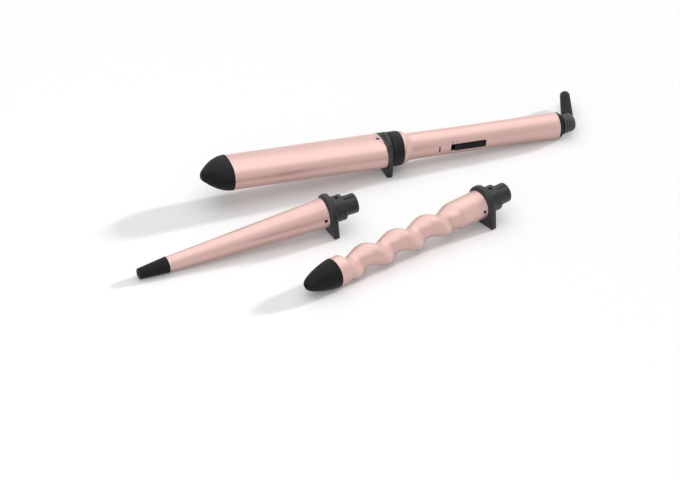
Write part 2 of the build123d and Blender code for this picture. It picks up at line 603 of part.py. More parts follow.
def chassis_halves():
    """Two half shells that clamp the control board, screwed together through it."""
    shell = tube(CHASSIS_RADIUS, CHASSIS_RADIUS - CHASSIS_WALL, CHASSIS_START, CHASSIS_END)
    halves = []
    for side, seat in ((-1, BOARD_FRONT), (1, BOARD_BACK)):
        keep = block((CHASSIS_START - 1, CHASSIS_END + 1), sorted((seat, side * 20)), (-20, 20))
        half = shell & keep
        for x in CHASSIS_SCREW_XS:
            low, high = sorted((seat, side * (CHASSIS_RADIUS - 0.6)))
            half += Pos(x, (low + high) / 2, 0) * Rot(X=90) * Cylinder(2.5, high - low)
            half -= Pos(x, 0, 0) * Rot(X=90) * Cylinder(1.0, 40)
            half -= Pos(x, -CHASSIS_RADIUS, 0) * Rot(X=90) * Cylinder(1.8, 4.2)
        halves.append(half)
    front, back = halves
    window = SWITCH_HALF_HEIGHT + 1.6
    front -= switch_side(block(
        (SWITCH_START - SWITCH_TRAVEL - 0.7, SWITCH_START + SWITCH_LENGTH + 0.7), (-20, -3),
        (-window, window)))
    lamp = LAMP_HALF_HEIGHT + 0.9
    front -= switch_side(block((LAMP_X - 2.0, LAMP_X + 2.0), (-20, -3), (-lamp, lamp)))
    return front, back


def chassis_screws():
    """Screws along Y that hold the two chassis halves and the board together."""
    screws = Part()
    for x in CHASSIS_SCREW_XS:
        head_seat = -(CHASSIS_RADIUS - 2.1)
        screws += Pos(x, head_seat - 0.6, 0) * Rot(X=90) * Cylinder(1.7, 1.2)
        shank_end = CHASSIS_RADIUS - 2.0
        screws += Pos(x, (head_seat + shank_end) / 2, 0) * Rot(X=90) * Cylinder(
            0.95, shank_end - head_seat)
    return screws


def control_board():
    """Circuit board along the handle, drilled for the chassis screws."""
    board = block((BOARD_START, BOARD_END), (BOARD_FRONT, BOARD_BACK),
                  (-BOARD_HALF_HEIGHT, BOARD_HALF_HEIGHT))
    for x in CHASSIS_SCREW_XS:
        board -= Pos(x, 0, 0) * Rot(X=90) * Cylinder(1.0, 20)
    return board


def board_components():
    """Power parts and chips that stand on both faces of the board."""
    chips = Part()
    for x, z, long, tall, high in (
        (98.0, 0.5, 6.0, 8.0, 1.6), (106.5, 2.5, 5.0, 5.0, 4.2), (106.5, -3.4, 5.0, 3.6, 2.2),
        (114.0, 0.0, 4.6, 9.6, 3.4), (120.0, -3.0, 3.0, 4.0, 1.2),
    ):
        chips += block((x - long / 2, x + long / 2), (BOARD_FRONT - high, BOARD_FRONT),
                       (z - tall / 2, z + tall / 2))
    for x, radius in ((68.0, 2.6), (76.0, 2.2)):
        chips += Pos(x, BOARD_BACK + 2.0, 0) * Rot(X=90) * Cylinder(radius, 4.0)
    chips += block((84, 96), (BOARD_BACK, BOARD_BACK + 2.4), (-4.5, 4.5))
    return chips


def switch_housing():
    """Slide switch on the board, open on top for the knob's lug."""
    middle = SWITCH_START + SWITCH_LENGTH / 2
    top = -4.6
    housing = block((middle - 8, middle + 6), (top, BOARD_FRONT), (-3.4, 3.4))
    return housing - block((middle - SWITCH_TRAVEL - 1.8, middle + 1.8), (top - 1, -2.6),
                           (-1.5, 1.5))


def switch_knob():
    """Slide knob: the face in the grip's slot, a flange behind it and a lug for the switch."""
    face_radius = GRIP_WAIST_RADIUS + SWITCH_PROUD
    end = SWITCH_START + SWITCH_LENGTH
    middle = (SWITCH_START + end) / 2
    face = block((SWITCH_START, end), (-20, -7.0), (-SWITCH_HALF_HEIGHT, SWITCH_HALF_HEIGHT))
    face = fillet(face.edges().filter_by(Axis.Y), 1.0)
    face = face & rod(face_radius, SWITCH_START - 1, end + 1)
    flange = SWITCH_HALF_HEIGHT + 1.0
    knob = face + block((SWITCH_START, end), (-7.4, -6.2), (-flange, flange))
    knob += block((middle - 1.5, middle + 1.5), (-6.4, -3.0), (-1.0, 1.0))
    return switch_side(knob)


def lamp_parts():
    """Light-emitting diode on the board and the slit lens that shows through the grip."""
    led = Pos(LAMP_X, (BOARD_FRONT - 4.6) / 2, 0) * Rot(X=90) * Cylinder(1.5, 4.6 + BOARD_FRONT)
    half, tall = LAMP_LENGTH / 2 - 0.05, LAMP_HALF_HEIGHT - 0.05
    lens = block((LAMP_X - half, LAMP_X + half), (-20, -7.0), (-tall, tall))
    lens = lens & rod(GRIP_NECK_RADIUS - 0.25, LAMP_X - 5, LAMP_X + 5)
    lens += block((LAMP_X - 1.7, LAMP_X + 1.7), (-7.6, -6.4), (-tall - 0.6, tall + 0.6))
    return led, switch_side(lens)


def wire(*points):
    """Round wire swept along a smooth line."""
    path = Spline(*points, tangents=((1, 0, 0), (1, 0, 0)))
    return sweep(Plane(origin=points[0], z_dir=(1, 0, 0)) * Circle(WIRE_RADIUS), path)


def handle_wires():
    """Leads from the contact sleeves to the front edge of the board."""
    leads = Part()
    start, end = SOCKET_END + CONTACT_TAIL, BOARD_START + 1
    clear = BOARD_FRONT - WIRE_RADIUS
    for (y, z), across in zip(PIN_PLACES, (2.5, -2.8, 5.6, -5.6)):
        side = BOARD_BACK + WIRE_RADIUS if y > 1 else clear
        leads += wire((start, y, z), (end, side, across))
    return leads


# ------------------------------------------------------------------ cord end
def end_cap():
    """Black dome that closes the grip and carries the swivel's bush."""
    rim = GRIP_END_RADIUS - 0.1
    outline = [
        Polyline((CAP_BACK, END_CAP_FACE_RADIUS), (CAP_BACK, BUSH_RADIUS),
                 (GRIP_END - END_CAP_SPIGOT, BUSH_RADIUS),
                 (GRIP_END - END_CAP_SPIGOT, GRIP_BORE_RADIUS - 0.1),
                 (GRIP_END, GRIP_BORE_RADIUS - 0.1), (GRIP_END, rim)),
        Bezier((GRIP_END, rim), (GRIP_END + 0.7 * END_CAP_LENGTH, rim),
               (CAP_BACK, END_CAP_FACE_RADIUS + 1.6), (CAP_BACK, END_CAP_FACE_RADIUS)),
    ]
    return revolve(make_face(outline), Axis.X)


def swivel_bush():
    """Flanged bush that the swivel shaft turns in."""
    start = GRIP_END - END_CAP_SPIGOT
    bore = SWIVEL_SHAFT_RADIUS + FIT_GAP
    back = ELBOW_START - ELBOW_GAP
    return turned((start, bore), (start, BUSH_RADIUS), (CAP_BACK, BUSH_RADIUS),
                  (CAP_BACK, BUSH_FLANGE_RADIUS), (back, BUSH_FLANGE_RADIUS), (back, bore))


def brush_parts():
    """Insulating brush holder, its two brushes and their leads to the board."""
    start, end = CHASSIS_END + 0.5, GRIP_END - END_CAP_SPIGOT - 1.6
    holder = tube(CHASSIS_RADIUS, SLIP_RING_RADIUS + 0.5, start, end)
    brushes, leads = Part(), Part()
    y, z = BOARD_FRONT - 2 * WIRE_RADIUS, 6.2
    for x, side in zip(SLIP_RING_XS, (1, -1)):
        middle = x + SLIP_RING_WIDTH / 2
        low, high = SLIP_RING_RADIUS + FIT_GAP, 7.6
        along = Pos(middle, 0, side * (low + high) / 2) * Cylinder(0.9, high - low)
        brushes += along
        holder -= along
        back = middle - 0.8
        lead = rod(WIRE_RADIUS, BOARD_END - 4, back, y, side * z)
        foot = (y + BOARD_FRONT) / 2
        lead += Pos(BOARD_END - 4, foot, side * z) * Rot(X=90) * Cylinder(
            WIRE_RADIUS, BOARD_FRONT - y)
        leads += lead - along
        holder -= rod(WIRE_RADIUS + 0.1, start - 1, middle, y, side * z)
    return holder, brushes, leads


def cord_rod(radius, start, end):
    """Round bar along the cord's line, measured from the handle axis."""
    along = Rot(Z=-CORD_LEAN) * Rot(X=-90) * Pos(0, 0, (start + end) / 2)
    return Pos(CORD_X, 0, 0) * along * Cylinder(radius, end - start)


def swivel_elbow():
    """Turning elbow: a shaft in the handle and a cone outside it that turns the cord aside."""
    soft = 1.6
    outline = [
        Polyline((ELBOW_END, ELBOW_END_RADIUS - soft), (ELBOW_END, 0), (SWIVEL_SHAFT_START, 0),
                 (SWIVEL_SHAFT_START, SWIVEL_SHAFT_RADIUS), (ELBOW_START, SWIVEL_SHAFT_RADIUS),
                 (ELBOW_START, ELBOW_START_RADIUS - 0.5),
                 (ELBOW_START + 0.5, ELBOW_START_RADIUS), (ELBOW_END - soft, ELBOW_END_RADIUS)),
        Bezier((ELBOW_END - soft, ELBOW_END_RADIUS), (ELBOW_END - 0.3, ELBOW_END_RADIUS - 0.2),
               (ELBOW_END, ELBOW_END_RADIUS - soft)),
    ]
    body = revolve(make_face(outline), Axis.X)
    body += cord_rod(BOSS_RADIUS, 0, BOSS_REACH)
    body -= rod(SWIVEL_BORE_RADIUS, SWIVEL_SHAFT_START - 1, CORD_X)
    body -= cord_rod(CORD_RADIUS, 0, BOSS_REACH + 1)
    body -= cord_rod(CORD_RADIUS + 0.9, 4.0, BOSS_REACH + 1)
    clip = GRIP_END - END_CAP_SPIGOT - 0.7
    return body - tube(SWIVEL_SHAFT_RADIUS + 1, SWIVEL_SHAFT_RADIUS - 0.5,
                       clip - CLIP_THICKNESS / 2, clip + CLIP_THICKNESS / 2)


def slip_rings():
    """Brass rings on the swivel shaft that the brushes ride on."""
    rings = Part()
    for x in SLIP_RING_XS:
        rings += tube(SLIP_RING_RADIUS, SWIVEL_SHAFT_RADIUS + 0.08, x, x + SLIP_RING_WIDTH)
    return rings


def strain_relief():
    """Ribbed rubber boot round the cord."""
    reach = BOOT_REACH
    soft = 1.4
    section = make_face(Polyline(
        (BOSS_REACH, CORD_RADIUS), (BOSS_REACH, BOOT_START_RADIUS),
        (reach - soft, BOOT_END_RADIUS), (reach - 0.3, BOOT_END_RADIUS - 0.5),
        (reach, CORD_RADIUS + 0.3), (reach, CORD_RADIUS), close=True))
    boot = revolve(section, Axis.X)
    for i in range(BOOT_RIBS):
        x = BOOT_RIB_START + i * BOOT_RIB_STEP
        share = (x - BOSS_REACH) / (reach - BOSS_REACH)
        skin = BOOT_START_RADIUS + share * (BOOT_END_RADIUS - BOOT_START_RADIUS)
        boot -= tube(skin + 1, skin - BOOT_RIB_DEPTH, x, x + BOOT_RIB_GAP)
    boot += tube(CORD_RADIUS + 0.85, CORD_RADIUS, 4.1, BOSS_REACH + 0.1)
    return Pos(CORD_X, 0, 0) * Rot(Z=90 - CORD_LEAN) * boot


def handle_parts():
    """Pieces of the handle and of everything that moves on it, keyed by node name."""
    chassis_front, chassis_back = chassis_halves()
    led, lens = lamp_parts()
    holder, brushes, brush_leads = brush_parts()
    ring_clip = snap_ring(SOCKET_RADIUS + 0.9, SOCKET_RADIUS - 0.35, CLIP_X, 3.0)
    swivel_clip = snap_ring(SWIVEL_SHAFT_RADIUS + 1.1, SWIVEL_SHAFT_RADIUS - 0.4,
                            GRIP_END - END_CAP_SPIGOT - 0.7, 2.0)
    return {
        "handle_sleeve": handle_sleeve(), "socket": socket(), "ring_clip": ring_clip,
        "contact_sleeves": contact_sleeves(), "chassis_front": chassis_front,
        "chassis_back": chassis_back, "chassis_screws": chassis_screws(),
        "control_board": control_board(), "board_components": board_components(),
        "switch_housing": switch_housing(), "indicator_led": led, "indicator_lens": lens,
        "handle_wires": handle_wires(), "brush_holder": holder, "brushes": brushes,
        "brush_leads": brush_leads, "end_cap": end_cap(), "swivel_bush": swivel_bush(),
        "lock_ring": lock_ring(), "latch_pin": latch_pin(), "switch_knob": switch_knob(),
        "swivel_elbow": swivel_elbow(), "slip_rings": slip_rings(), "swivel_clip": swivel_clip,
        "strain_relief": strain_relief(),
    }


# ------------------------------------------------------------------ resting on the table
def resting_tilt(foot_x, far_x, far_drop, far_round=0.0):
    """Tilt about Y that sets the foot and the far end on the table, and the axis height.

    foot_x is the middle of the rounded foot edge that touches; the far end touches at far_x,
    where it reaches far_drop below the axis with an edge rounded by far_round.
    """
    run = far_x - foot_x
    rise = (far_drop - far_round) - (FOOT_HEIGHT - FOOT_ROUND)
    tilt = 0.0
    for _ in range(20):
        tilt = asin((FOOT_ROUND - far_round - rise * cos(tilt)) / run)
    height = foot_x * sin(tilt) + (FOOT_HEIGHT - FOOT_ROUND) * cos(tilt) + FOOT_ROUND
    return degrees(tilt), height


wand_tilt, wand_height = resting_tilt(
    FLANGE_BACK - FOOT_ROUND, GRIP_END - 0.4, GRIP_END_RADIUS)
cone_tilt, cone_height = resting_tilt(
    FLANGE_START + FOOT_ROUND, -CONE_LENGTH - CONE_TIP_LENGTH + 1.2, CONE_TIP_END_RADIUS)
spiral_tilt, spiral_height = resting_tilt(
    FLANGE_START + FOOT_ROUND, -SPIRAL_LENGTH, SPIRAL_RADIUS + TIP_LIP)

places = {"wand": Pos(0, 0, wand_height) * Rot(Y=wand_tilt)}
for name, tilt, height in (("cone", cone_tilt, cone_height),
                           ("spiral", spiral_tilt, spiral_height)):
    heading, (x, y) = SPARE_PLACES[name]
    places[name] = Pos(x, y, height) * Rot(Z=heading) * Rot(Y=tilt)

assemblies = {"wand": oval_barrel() | handle_parts(), "cone": cone_barrel(),
              "spiral": spiral_barrel()}
solids = {name: places[group] * solid
          for group, pieces in assemblies.items() for name, solid in pieces.items()}
kit_box = Compound(children=[Compound(solid.solids()) for solid in solids.values()]).bounding_box()
shift = Pos(-kit_box.center().X, -kit_box.center().Y, -kit_box.min.Z)
for name, solid in solids.items():
    export_step(shift * solid, f"parts/{name}.step")
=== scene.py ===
"""Looks for a curling wand kit: a grip with an oval barrel, and a conical and a corkscrew barrel.

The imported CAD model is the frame. The outer pieces are modelled again here with clean curved
surfaces and rounded edges, each on its own barrel axis in millimetres: x runs from the cool tip
towards the cord, -y is the side with the switch, and z is up. A piece is then set on the axis
that the frame gives for it. The pieces inside keep their CAD shape and get a finish.
"""

import json
import logging
import math
from dataclasses import dataclass
from enum import Enum
from typing import Callable, Iterable, Sequence

import bpy
from mathutils import Matrix, Vector

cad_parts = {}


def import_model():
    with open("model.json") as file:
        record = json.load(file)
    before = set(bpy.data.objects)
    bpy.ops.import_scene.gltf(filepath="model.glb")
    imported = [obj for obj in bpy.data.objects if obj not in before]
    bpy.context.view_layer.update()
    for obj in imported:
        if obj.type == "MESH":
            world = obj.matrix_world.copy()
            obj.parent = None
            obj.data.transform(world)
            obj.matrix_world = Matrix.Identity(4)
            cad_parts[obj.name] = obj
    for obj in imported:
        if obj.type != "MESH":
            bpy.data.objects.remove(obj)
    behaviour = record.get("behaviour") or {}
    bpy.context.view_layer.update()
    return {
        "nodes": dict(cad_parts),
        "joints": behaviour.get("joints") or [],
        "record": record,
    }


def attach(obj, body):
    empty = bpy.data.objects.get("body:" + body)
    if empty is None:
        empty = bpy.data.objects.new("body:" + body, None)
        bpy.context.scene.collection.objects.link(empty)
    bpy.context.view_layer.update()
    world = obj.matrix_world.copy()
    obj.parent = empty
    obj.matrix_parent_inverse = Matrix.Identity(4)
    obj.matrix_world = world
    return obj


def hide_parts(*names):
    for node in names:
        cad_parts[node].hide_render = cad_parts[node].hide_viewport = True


log = logging.getLogger("wand")
MM = 0.001
# Places along a barrel axis, in millimetres: the twist ring's joint and the coupling mounts.
TWIST_PLACE = 11.8
COUPLING_PLACE = 11.4
Colour = tuple[float, float, float]
Station = tuple[float, float]


# ---------------------------------------------------------------- shader maths
class Level:
    """A shader value that takes part in Python expressions."""

    def __init__(self, bench: "Bench", socket: bpy.types.NodeSocket) -> None:
        """Wraps an output socket.

        Args:
            bench: the node bench that adds nodes for this material.
            socket: the output socket that carries the value.
        """
        self.bench = bench
        self.socket = socket

    def _maths(self, operation: str, first: object, second: object = None) -> "Level":
        """Adds one Math node.

        Args:
            operation: the Math node's operation.
            first: a Level or a number.
            second: a Level, a number or nothing.

        Returns:
            The node's result.
        """
        values = {0: first} if second is None else {0: first, 1: second}
        return self.bench.add("ShaderNodeMath", {"operation": operation}, values)

    def __add__(self, other: object) -> "Level":
        """Sum."""
        return self._maths("ADD", self, other)

    __radd__ = __add__

    def __mul__(self, other: object) -> "Level":
        """Product."""
        return self._maths("MULTIPLY", self, other)

    def __sub__(self, other: object) -> "Level":
        """Difference."""
        return self._maths("SUBTRACT", self, other)

    def __rsub__(self, other: object) -> "Level":
        """Difference from a number, as in 1 - mask."""
        return self._maths("SUBTRACT", other, self)

    def clamp(self) -> "Level":
        """This value kept from 0 to 1."""
        return self.bench.add("ShaderNodeClamp", {}, {"Value": self})


class Bench:
    """One material's node tree, with one method that makes every node."""

    def __init__(self, name: str) -> None:
        """Starts an empty material.

        Args:
            name: the material's name.
        """
        self.material = bpy.data.materials.new(name)
        self.material.use_nodes = True
        self.tree = self.material.node_tree
        self.tree.nodes.clear()

    def add(self, kind: str, settings: dict, values: dict, output: object = 0) -> Level:
        """Makes a node.

        Args:
            kind: the node's type.
            settings: properties that are set before the sockets.
            values: sockets by name or number, each a number, a colour or a Level.
            output: name or number of the output that is returned.

        Returns:
            The chosen output.
        """
        node = self.tree.nodes.new(kind)
        for key, value in settings.items():
            setattr(node, key, value)
        for key, value in values.items():
            if isinstance(value, Level):
                self.tree.links.new(value.socket, node.inputs[key])
            else:
                node.inputs[key].default_value = value
        return Level(self, node.outputs[output]) if len(node.outputs) else Level(self, None)

    def place(self) -> Level:
        """Object coordinates, in metres."""
        return self.add("ShaderNodeTexCoord", {}, {}, "Object")

    def noise(self, size: float, detail: float = 2.0, roughness: float = 0.5) -> Level:
        """Fractal noise.

        Args:
            size: width of the coarsest cells, in metres.
            detail: octaves.
            roughness: strength of the finer octaves.

        Returns:
            The noise from 0 to 1.
        """
        values = {"Vector": self.place(), "Scale": 1 / size, "Detail": detail,
                  "Roughness": roughness}
        return self.add("ShaderNodeTexNoise", {}, values, "Fac")

    def cells(self, size: float) -> Level:
        """Voronoi cells.

        Args:
            size: width of a cell, in metres.

        Returns:
            A random value for each cell.
        """
        colour = self.add("ShaderNodeTexVoronoi", {},
                          {"Vector": self.place(), "Scale": 1 / size}, "Color")
        return self.add("ShaderNodeSeparateColor", {}, {"Color": colour}, 0)

    def mix(self, factor: object, first: object, second: object) -> Level:
        """Mixes two colours.

        Args:
            factor: 0 gives the first colour and 1 the second.
            first: a colour or a Level.
            second: a colour or a Level.

        Returns:
            The mixed colour.
        """
        def rgba(colour: object) -> object:
            """A colour with an alpha, or the Level as it is."""
            return colour if isinstance(colour, Level) else (*colour, 1.0)
        return self.add("ShaderNodeMix", {"data_type": "RGBA"},
                        {0: factor, 6: rgba(first), 7: rgba(second)}, 2)

    def bump(self, height: Level, distance: float, strength: float = 1.0) -> Level:
        """Bump from a height.

        Args:
            height: the height from 0 to 1.
            distance: how far 1 stands out, in metres.
            strength: how much of the bump is used.

        Returns:
            A normal.
        """
        return self.add("ShaderNodeBump", {}, {"Height": height, "Distance": distance,
                                               "Strength": strength}, "Normal")

    def finish(self, values: dict) -> bpy.types.Material:
        """Ends the tree in a Principled shader.

        Args:
            values: the shader's sockets.

        Returns:
            The material.
        """
        shader = self.add("ShaderNodeBsdfPrincipled", {}, values)
        self.add("ShaderNodeOutputMaterial", {}, {"Surface": shader})
        return self.material


# ---------------------------------------------------------------- finishes
@dataclass(frozen=True)
class MetallicPaint:
    """Satin pearl paint with fine flakes under a thin clear coat."""

    name: str = "satin_pink_paint"
    base: Colour = (0.75, 0.49, 0.445)
    warm: Colour = (0.80, 0.54, 0.495)
    flake_size: float = 0.00035
    flake_share: float = 0.35
    mottle_size: float = 0.030
    peel_size: float = 0.0011
    relief: float = 0.000012
    metallic: float = 0.45
    roughness: float = 0.34
    coat: float = 0.15
    coat_roughness: float = 0.28

    def make(self) -> bpy.types.Material:
        """Builds the material.

        Returns:
            The material.
        """
        bench = Bench(self.name)
        spark = bench.cells(self.flake_size)
        mottle = bench.noise(self.mottle_size)
        blend = spark * self.flake_share + mottle * (1 - self.flake_share)
        peel = bench.noise(self.peel_size)
        rough = self.roughness + (spark - 0.5) * 0.10 + (mottle - 0.5) * 0.05
        return bench.finish({
            "Base Color": bench.mix(blend.clamp(), self.base, self.warm),
            "Metallic": self.metallic, "Roughness": rough,
            "Normal": bench.bump(spark * 0.5 + peel, self.relief, 0.6),
            "Coat Weight": self.coat, "Coat Roughness": self.coat_roughness,
        })


@dataclass(frozen=True)
class MouldedPlastic:
    """Spark-eroded moulded plastic, a little polished where hands and tables rub it."""

    name: str
    base: Colour
    worn: Colour
    grain: float = 0.00045
    depth: float = 0.00002
    rub_size: float = 0.012
    rub_start: float = 0.55
    rub_shade: float = 0.5
    rub_polish: float = 0.07
    roughness: float = 0.46
    specular: float = 0.5

    def make(self) -> bpy.types.Material:
        """Builds the material.

        Returns:
            The material.
        """
        bench = Bench(self.name)
        grain = bench.noise(self.grain, 3.0, 0.6)
        rub = bench.noise(self.rub_size, 4.0, 0.55)
        rubbed = ((rub - self.rub_start) * 3.0).clamp()
        colour = bench.mix(rubbed * self.rub_shade + grain * 0.25, self.base, self.worn)
        rough = self.roughness + (grain - 0.5) * 0.18 - rubbed * self.rub_polish
        return bench.finish({
            "Base Color": colour, "Roughness": rough, "Specular IOR Level": self.specular,
            "Normal": bench.bump(grain, self.depth, 0.8),
        })


@dataclass(frozen=True)
class BareMetal:
    """Brushed, cast or plated metal with drawn streaks along one axis."""

    name: str
    base: Colour
    dull: Colour
    roughness: float = 0.3
    streak: tuple[float, float, float] = (0.006, 0.0003, 0.0003)
    tarnish_size: float = 0.005
    relief: float = 0.00001

    def make(self) -> bpy.types.Material:
        """Builds the material.

        Returns:
            The material.
        """
        bench = Bench(self.name)
        scale = tuple(1 / size for size in self.streak)
        lines = bench.add("ShaderNodeMapping", {}, {"Vector": bench.place(), "Scale": scale})
        streaks = bench.add("ShaderNodeTexNoise", {}, {"Vector": lines, "Scale": 1.0}, "Fac")
        tarnish = bench.noise(self.tarnish_size, 3.0)
        colour = bench.mix(((tarnish - 0.4) * 2).clamp() * 0.6, self.base, self.dull)
        rough = self.roughness + (streaks - 0.5) * 0.2 + (tarnish - 0.5) * 0.1
        return bench.finish({"Base Color": colour, "Metallic": 1.0, "Roughness": rough,
                             "Normal": bench.bump(streaks, self.relief, 0.6)})


@dataclass(frozen=True)
class Ceramic:
    """Fired ceramic of the heaters, speckled and matt."""

    name: str = "fired_ceramic"
    base: Colour = (0.78, 0.75, 0.68)
    speck: Colour = (0.55, 0.50, 0.42)
    grain: float = 0.0006
    relief: float = 0.00002

    def make(self) -> bpy.types.Material:
        """Builds the material.

        Returns:
            The material.
        """
        bench = Bench(self.name)
        grain = bench.noise(self.grain, 4.0, 0.7)
        specks = ((grain - 0.58) * 8).clamp()
        return bench.finish({"Base Color": bench.mix(specks, self.base, self.speck),
                             "Roughness": 0.55 + specks * 0.2,
                             "Normal": bench.bump(grain, self.relief)})


@dataclass(frozen=True)
class CircuitBoard:
    """Lacquered circuit board with copper tracks showing under the green."""

    name: str = "board_lacquer"
    green: Colour = (0.015, 0.16, 0.06)
    track: Colour = (0.05, 0.30, 0.11)
    pitch: float = 0.0016
    relief: float = 0.00003

    def make(self) -> bpy.types.Material:
        """Builds the material.

        Returns:
            The material.
        """
        bench = Bench(self.name)
        tracks = bench.add("ShaderNodeTexBrick", {"offset": 0.37, "squash": 1.0}, {
            "Vector": bench.add("ShaderNodeMapping", {}, {
                "Vector": bench.place(), "Rotation": (math.pi / 2, 0.0, 0.0)}),
            "Scale": 1 / self.pitch / 2, "Mortar Size": 0.09, "Brick Width": 1.6,
            "Row Height": 0.5,
        }, "Fac")
        return bench.finish({
            "Base Color": bench.mix(tracks, self.green, self.track),
            "Roughness": 0.32 - tracks * 0.06, "Normal": bench.bump(tracks, self.relief),
        })


@dataclass(frozen=True)
class LampLens:
    """Dark amber lens of the indicator, unlit."""

    name: str = "amber_lens"
    base: Colour = (0.10, 0.030, 0.014)
    glow: Colour = (0.20, 0.055, 0.02)
    prism_size: float = 0.0008
    relief: float = 0.00002

    def make(self) -> bpy.types.Material:
        """Builds the material.

        Returns:
            The material.
        """
        bench = Bench(self.name)
        prism = bench.noise(self.prism_size, 1.0)
        return bench.finish({"Base Color": bench.mix(prism, self.base, self.glow),
                             "Roughness": 0.16 + prism * 0.08,
                             "Normal": bench.bump(prism, self.relief)})


class Finish(Enum):
    """Their names differ from those of the frame's materials."""

    PINK = MetallicPaint()
    BLACK = MouldedPlastic("satin_black_plastic", (0.008, 0.008, 0.009), (0.017, 0.017, 0.018),
                           specular=0.15)
    BASE = MouldedPlastic("base_black_plastic", (0.014, 0.014, 0.015), (0.028, 0.028, 0.030),
                          roughness=0.38, specular=0.45)
    # The elbow's black plastic is made a lighter grey than the other blacks: painted sheen that
    # stands in for the highlights on its glossy surface.
    ELBOW = MouldedPlastic("elbow_plastic_with_painted_sheen", (0.035, 0.035, 0.036), (0.055, 0.055, 0.056),
                           roughness=0.30, specular=0.5)
    RING = MouldedPlastic("ring_black_plastic", (0.011, 0.011, 0.012), (0.022, 0.022, 0.023),
                          roughness=0.40, specular=0.22)
    RUBBER = MouldedPlastic("matt_black_rubber", (0.012, 0.012, 0.013), (0.022, 0.022, 0.023),
                            grain=0.0003, roughness=0.55, specular=0.20)
    # Near-black steel for the base screws, so that the screw holes in the tubes show dark: painted
    # shade of the holes.
    BLUED = BareMetal("screw_hole_shade_steel", (0.030, 0.030, 0.032), (0.018, 0.018, 0.019), 0.36)
    CHASSIS = MouldedPlastic("moulded_chassis", (0.06, 0.06, 0.065), (0.10, 0.10, 0.105))
    COMPONENT = MouldedPlastic("moulded_component", (0.025, 0.025, 0.028), (0.05, 0.05, 0.05),
                               roughness=0.38)
    LEAD = MouldedPlastic("lead_sleeve", (0.62, 0.58, 0.52), (0.50, 0.46, 0.40),
                          roughness=0.55)
    STEEL = BareMetal("screw_steel", (0.55, 0.55, 0.56), (0.33, 0.32, 0.31), 0.32)
    BRASS = BareMetal("turned_brass", (0.78, 0.56, 0.25), (0.52, 0.35, 0.14), 0.24)
    ALUMINIUM = BareMetal("extruded_aluminium", (0.72, 0.72, 0.73), (0.55, 0.55, 0.56), 0.34)
    CERAMIC = Ceramic()
    BOARD = CircuitBoard()
    LENS = LampLens()

    def material(self) -> bpy.types.Material:
        """The finish's material, made once."""
        return bpy.data.materials.get(self.value.name) or self.value.make()


SLOT_FINISH = {
    "pink_metallic": Finish.PINK, "black_plastic": Finish.BLACK, "black_rubber": Finish.RUBBER,
    "steel": Finish.STEEL, "contact_brass": Finish.BRASS, "aluminium": Finish.ALUMINIUM,
    "ceramic": Finish.CERAMIC, "lead_insulation": Finish.LEAD,
    "chassis_plastic": Finish.CHASSIS, "circuit_board": Finish.BOARD,
    "component_plastic": Finish.COMPONENT, "lamp_lens": Finish.LENS,
}


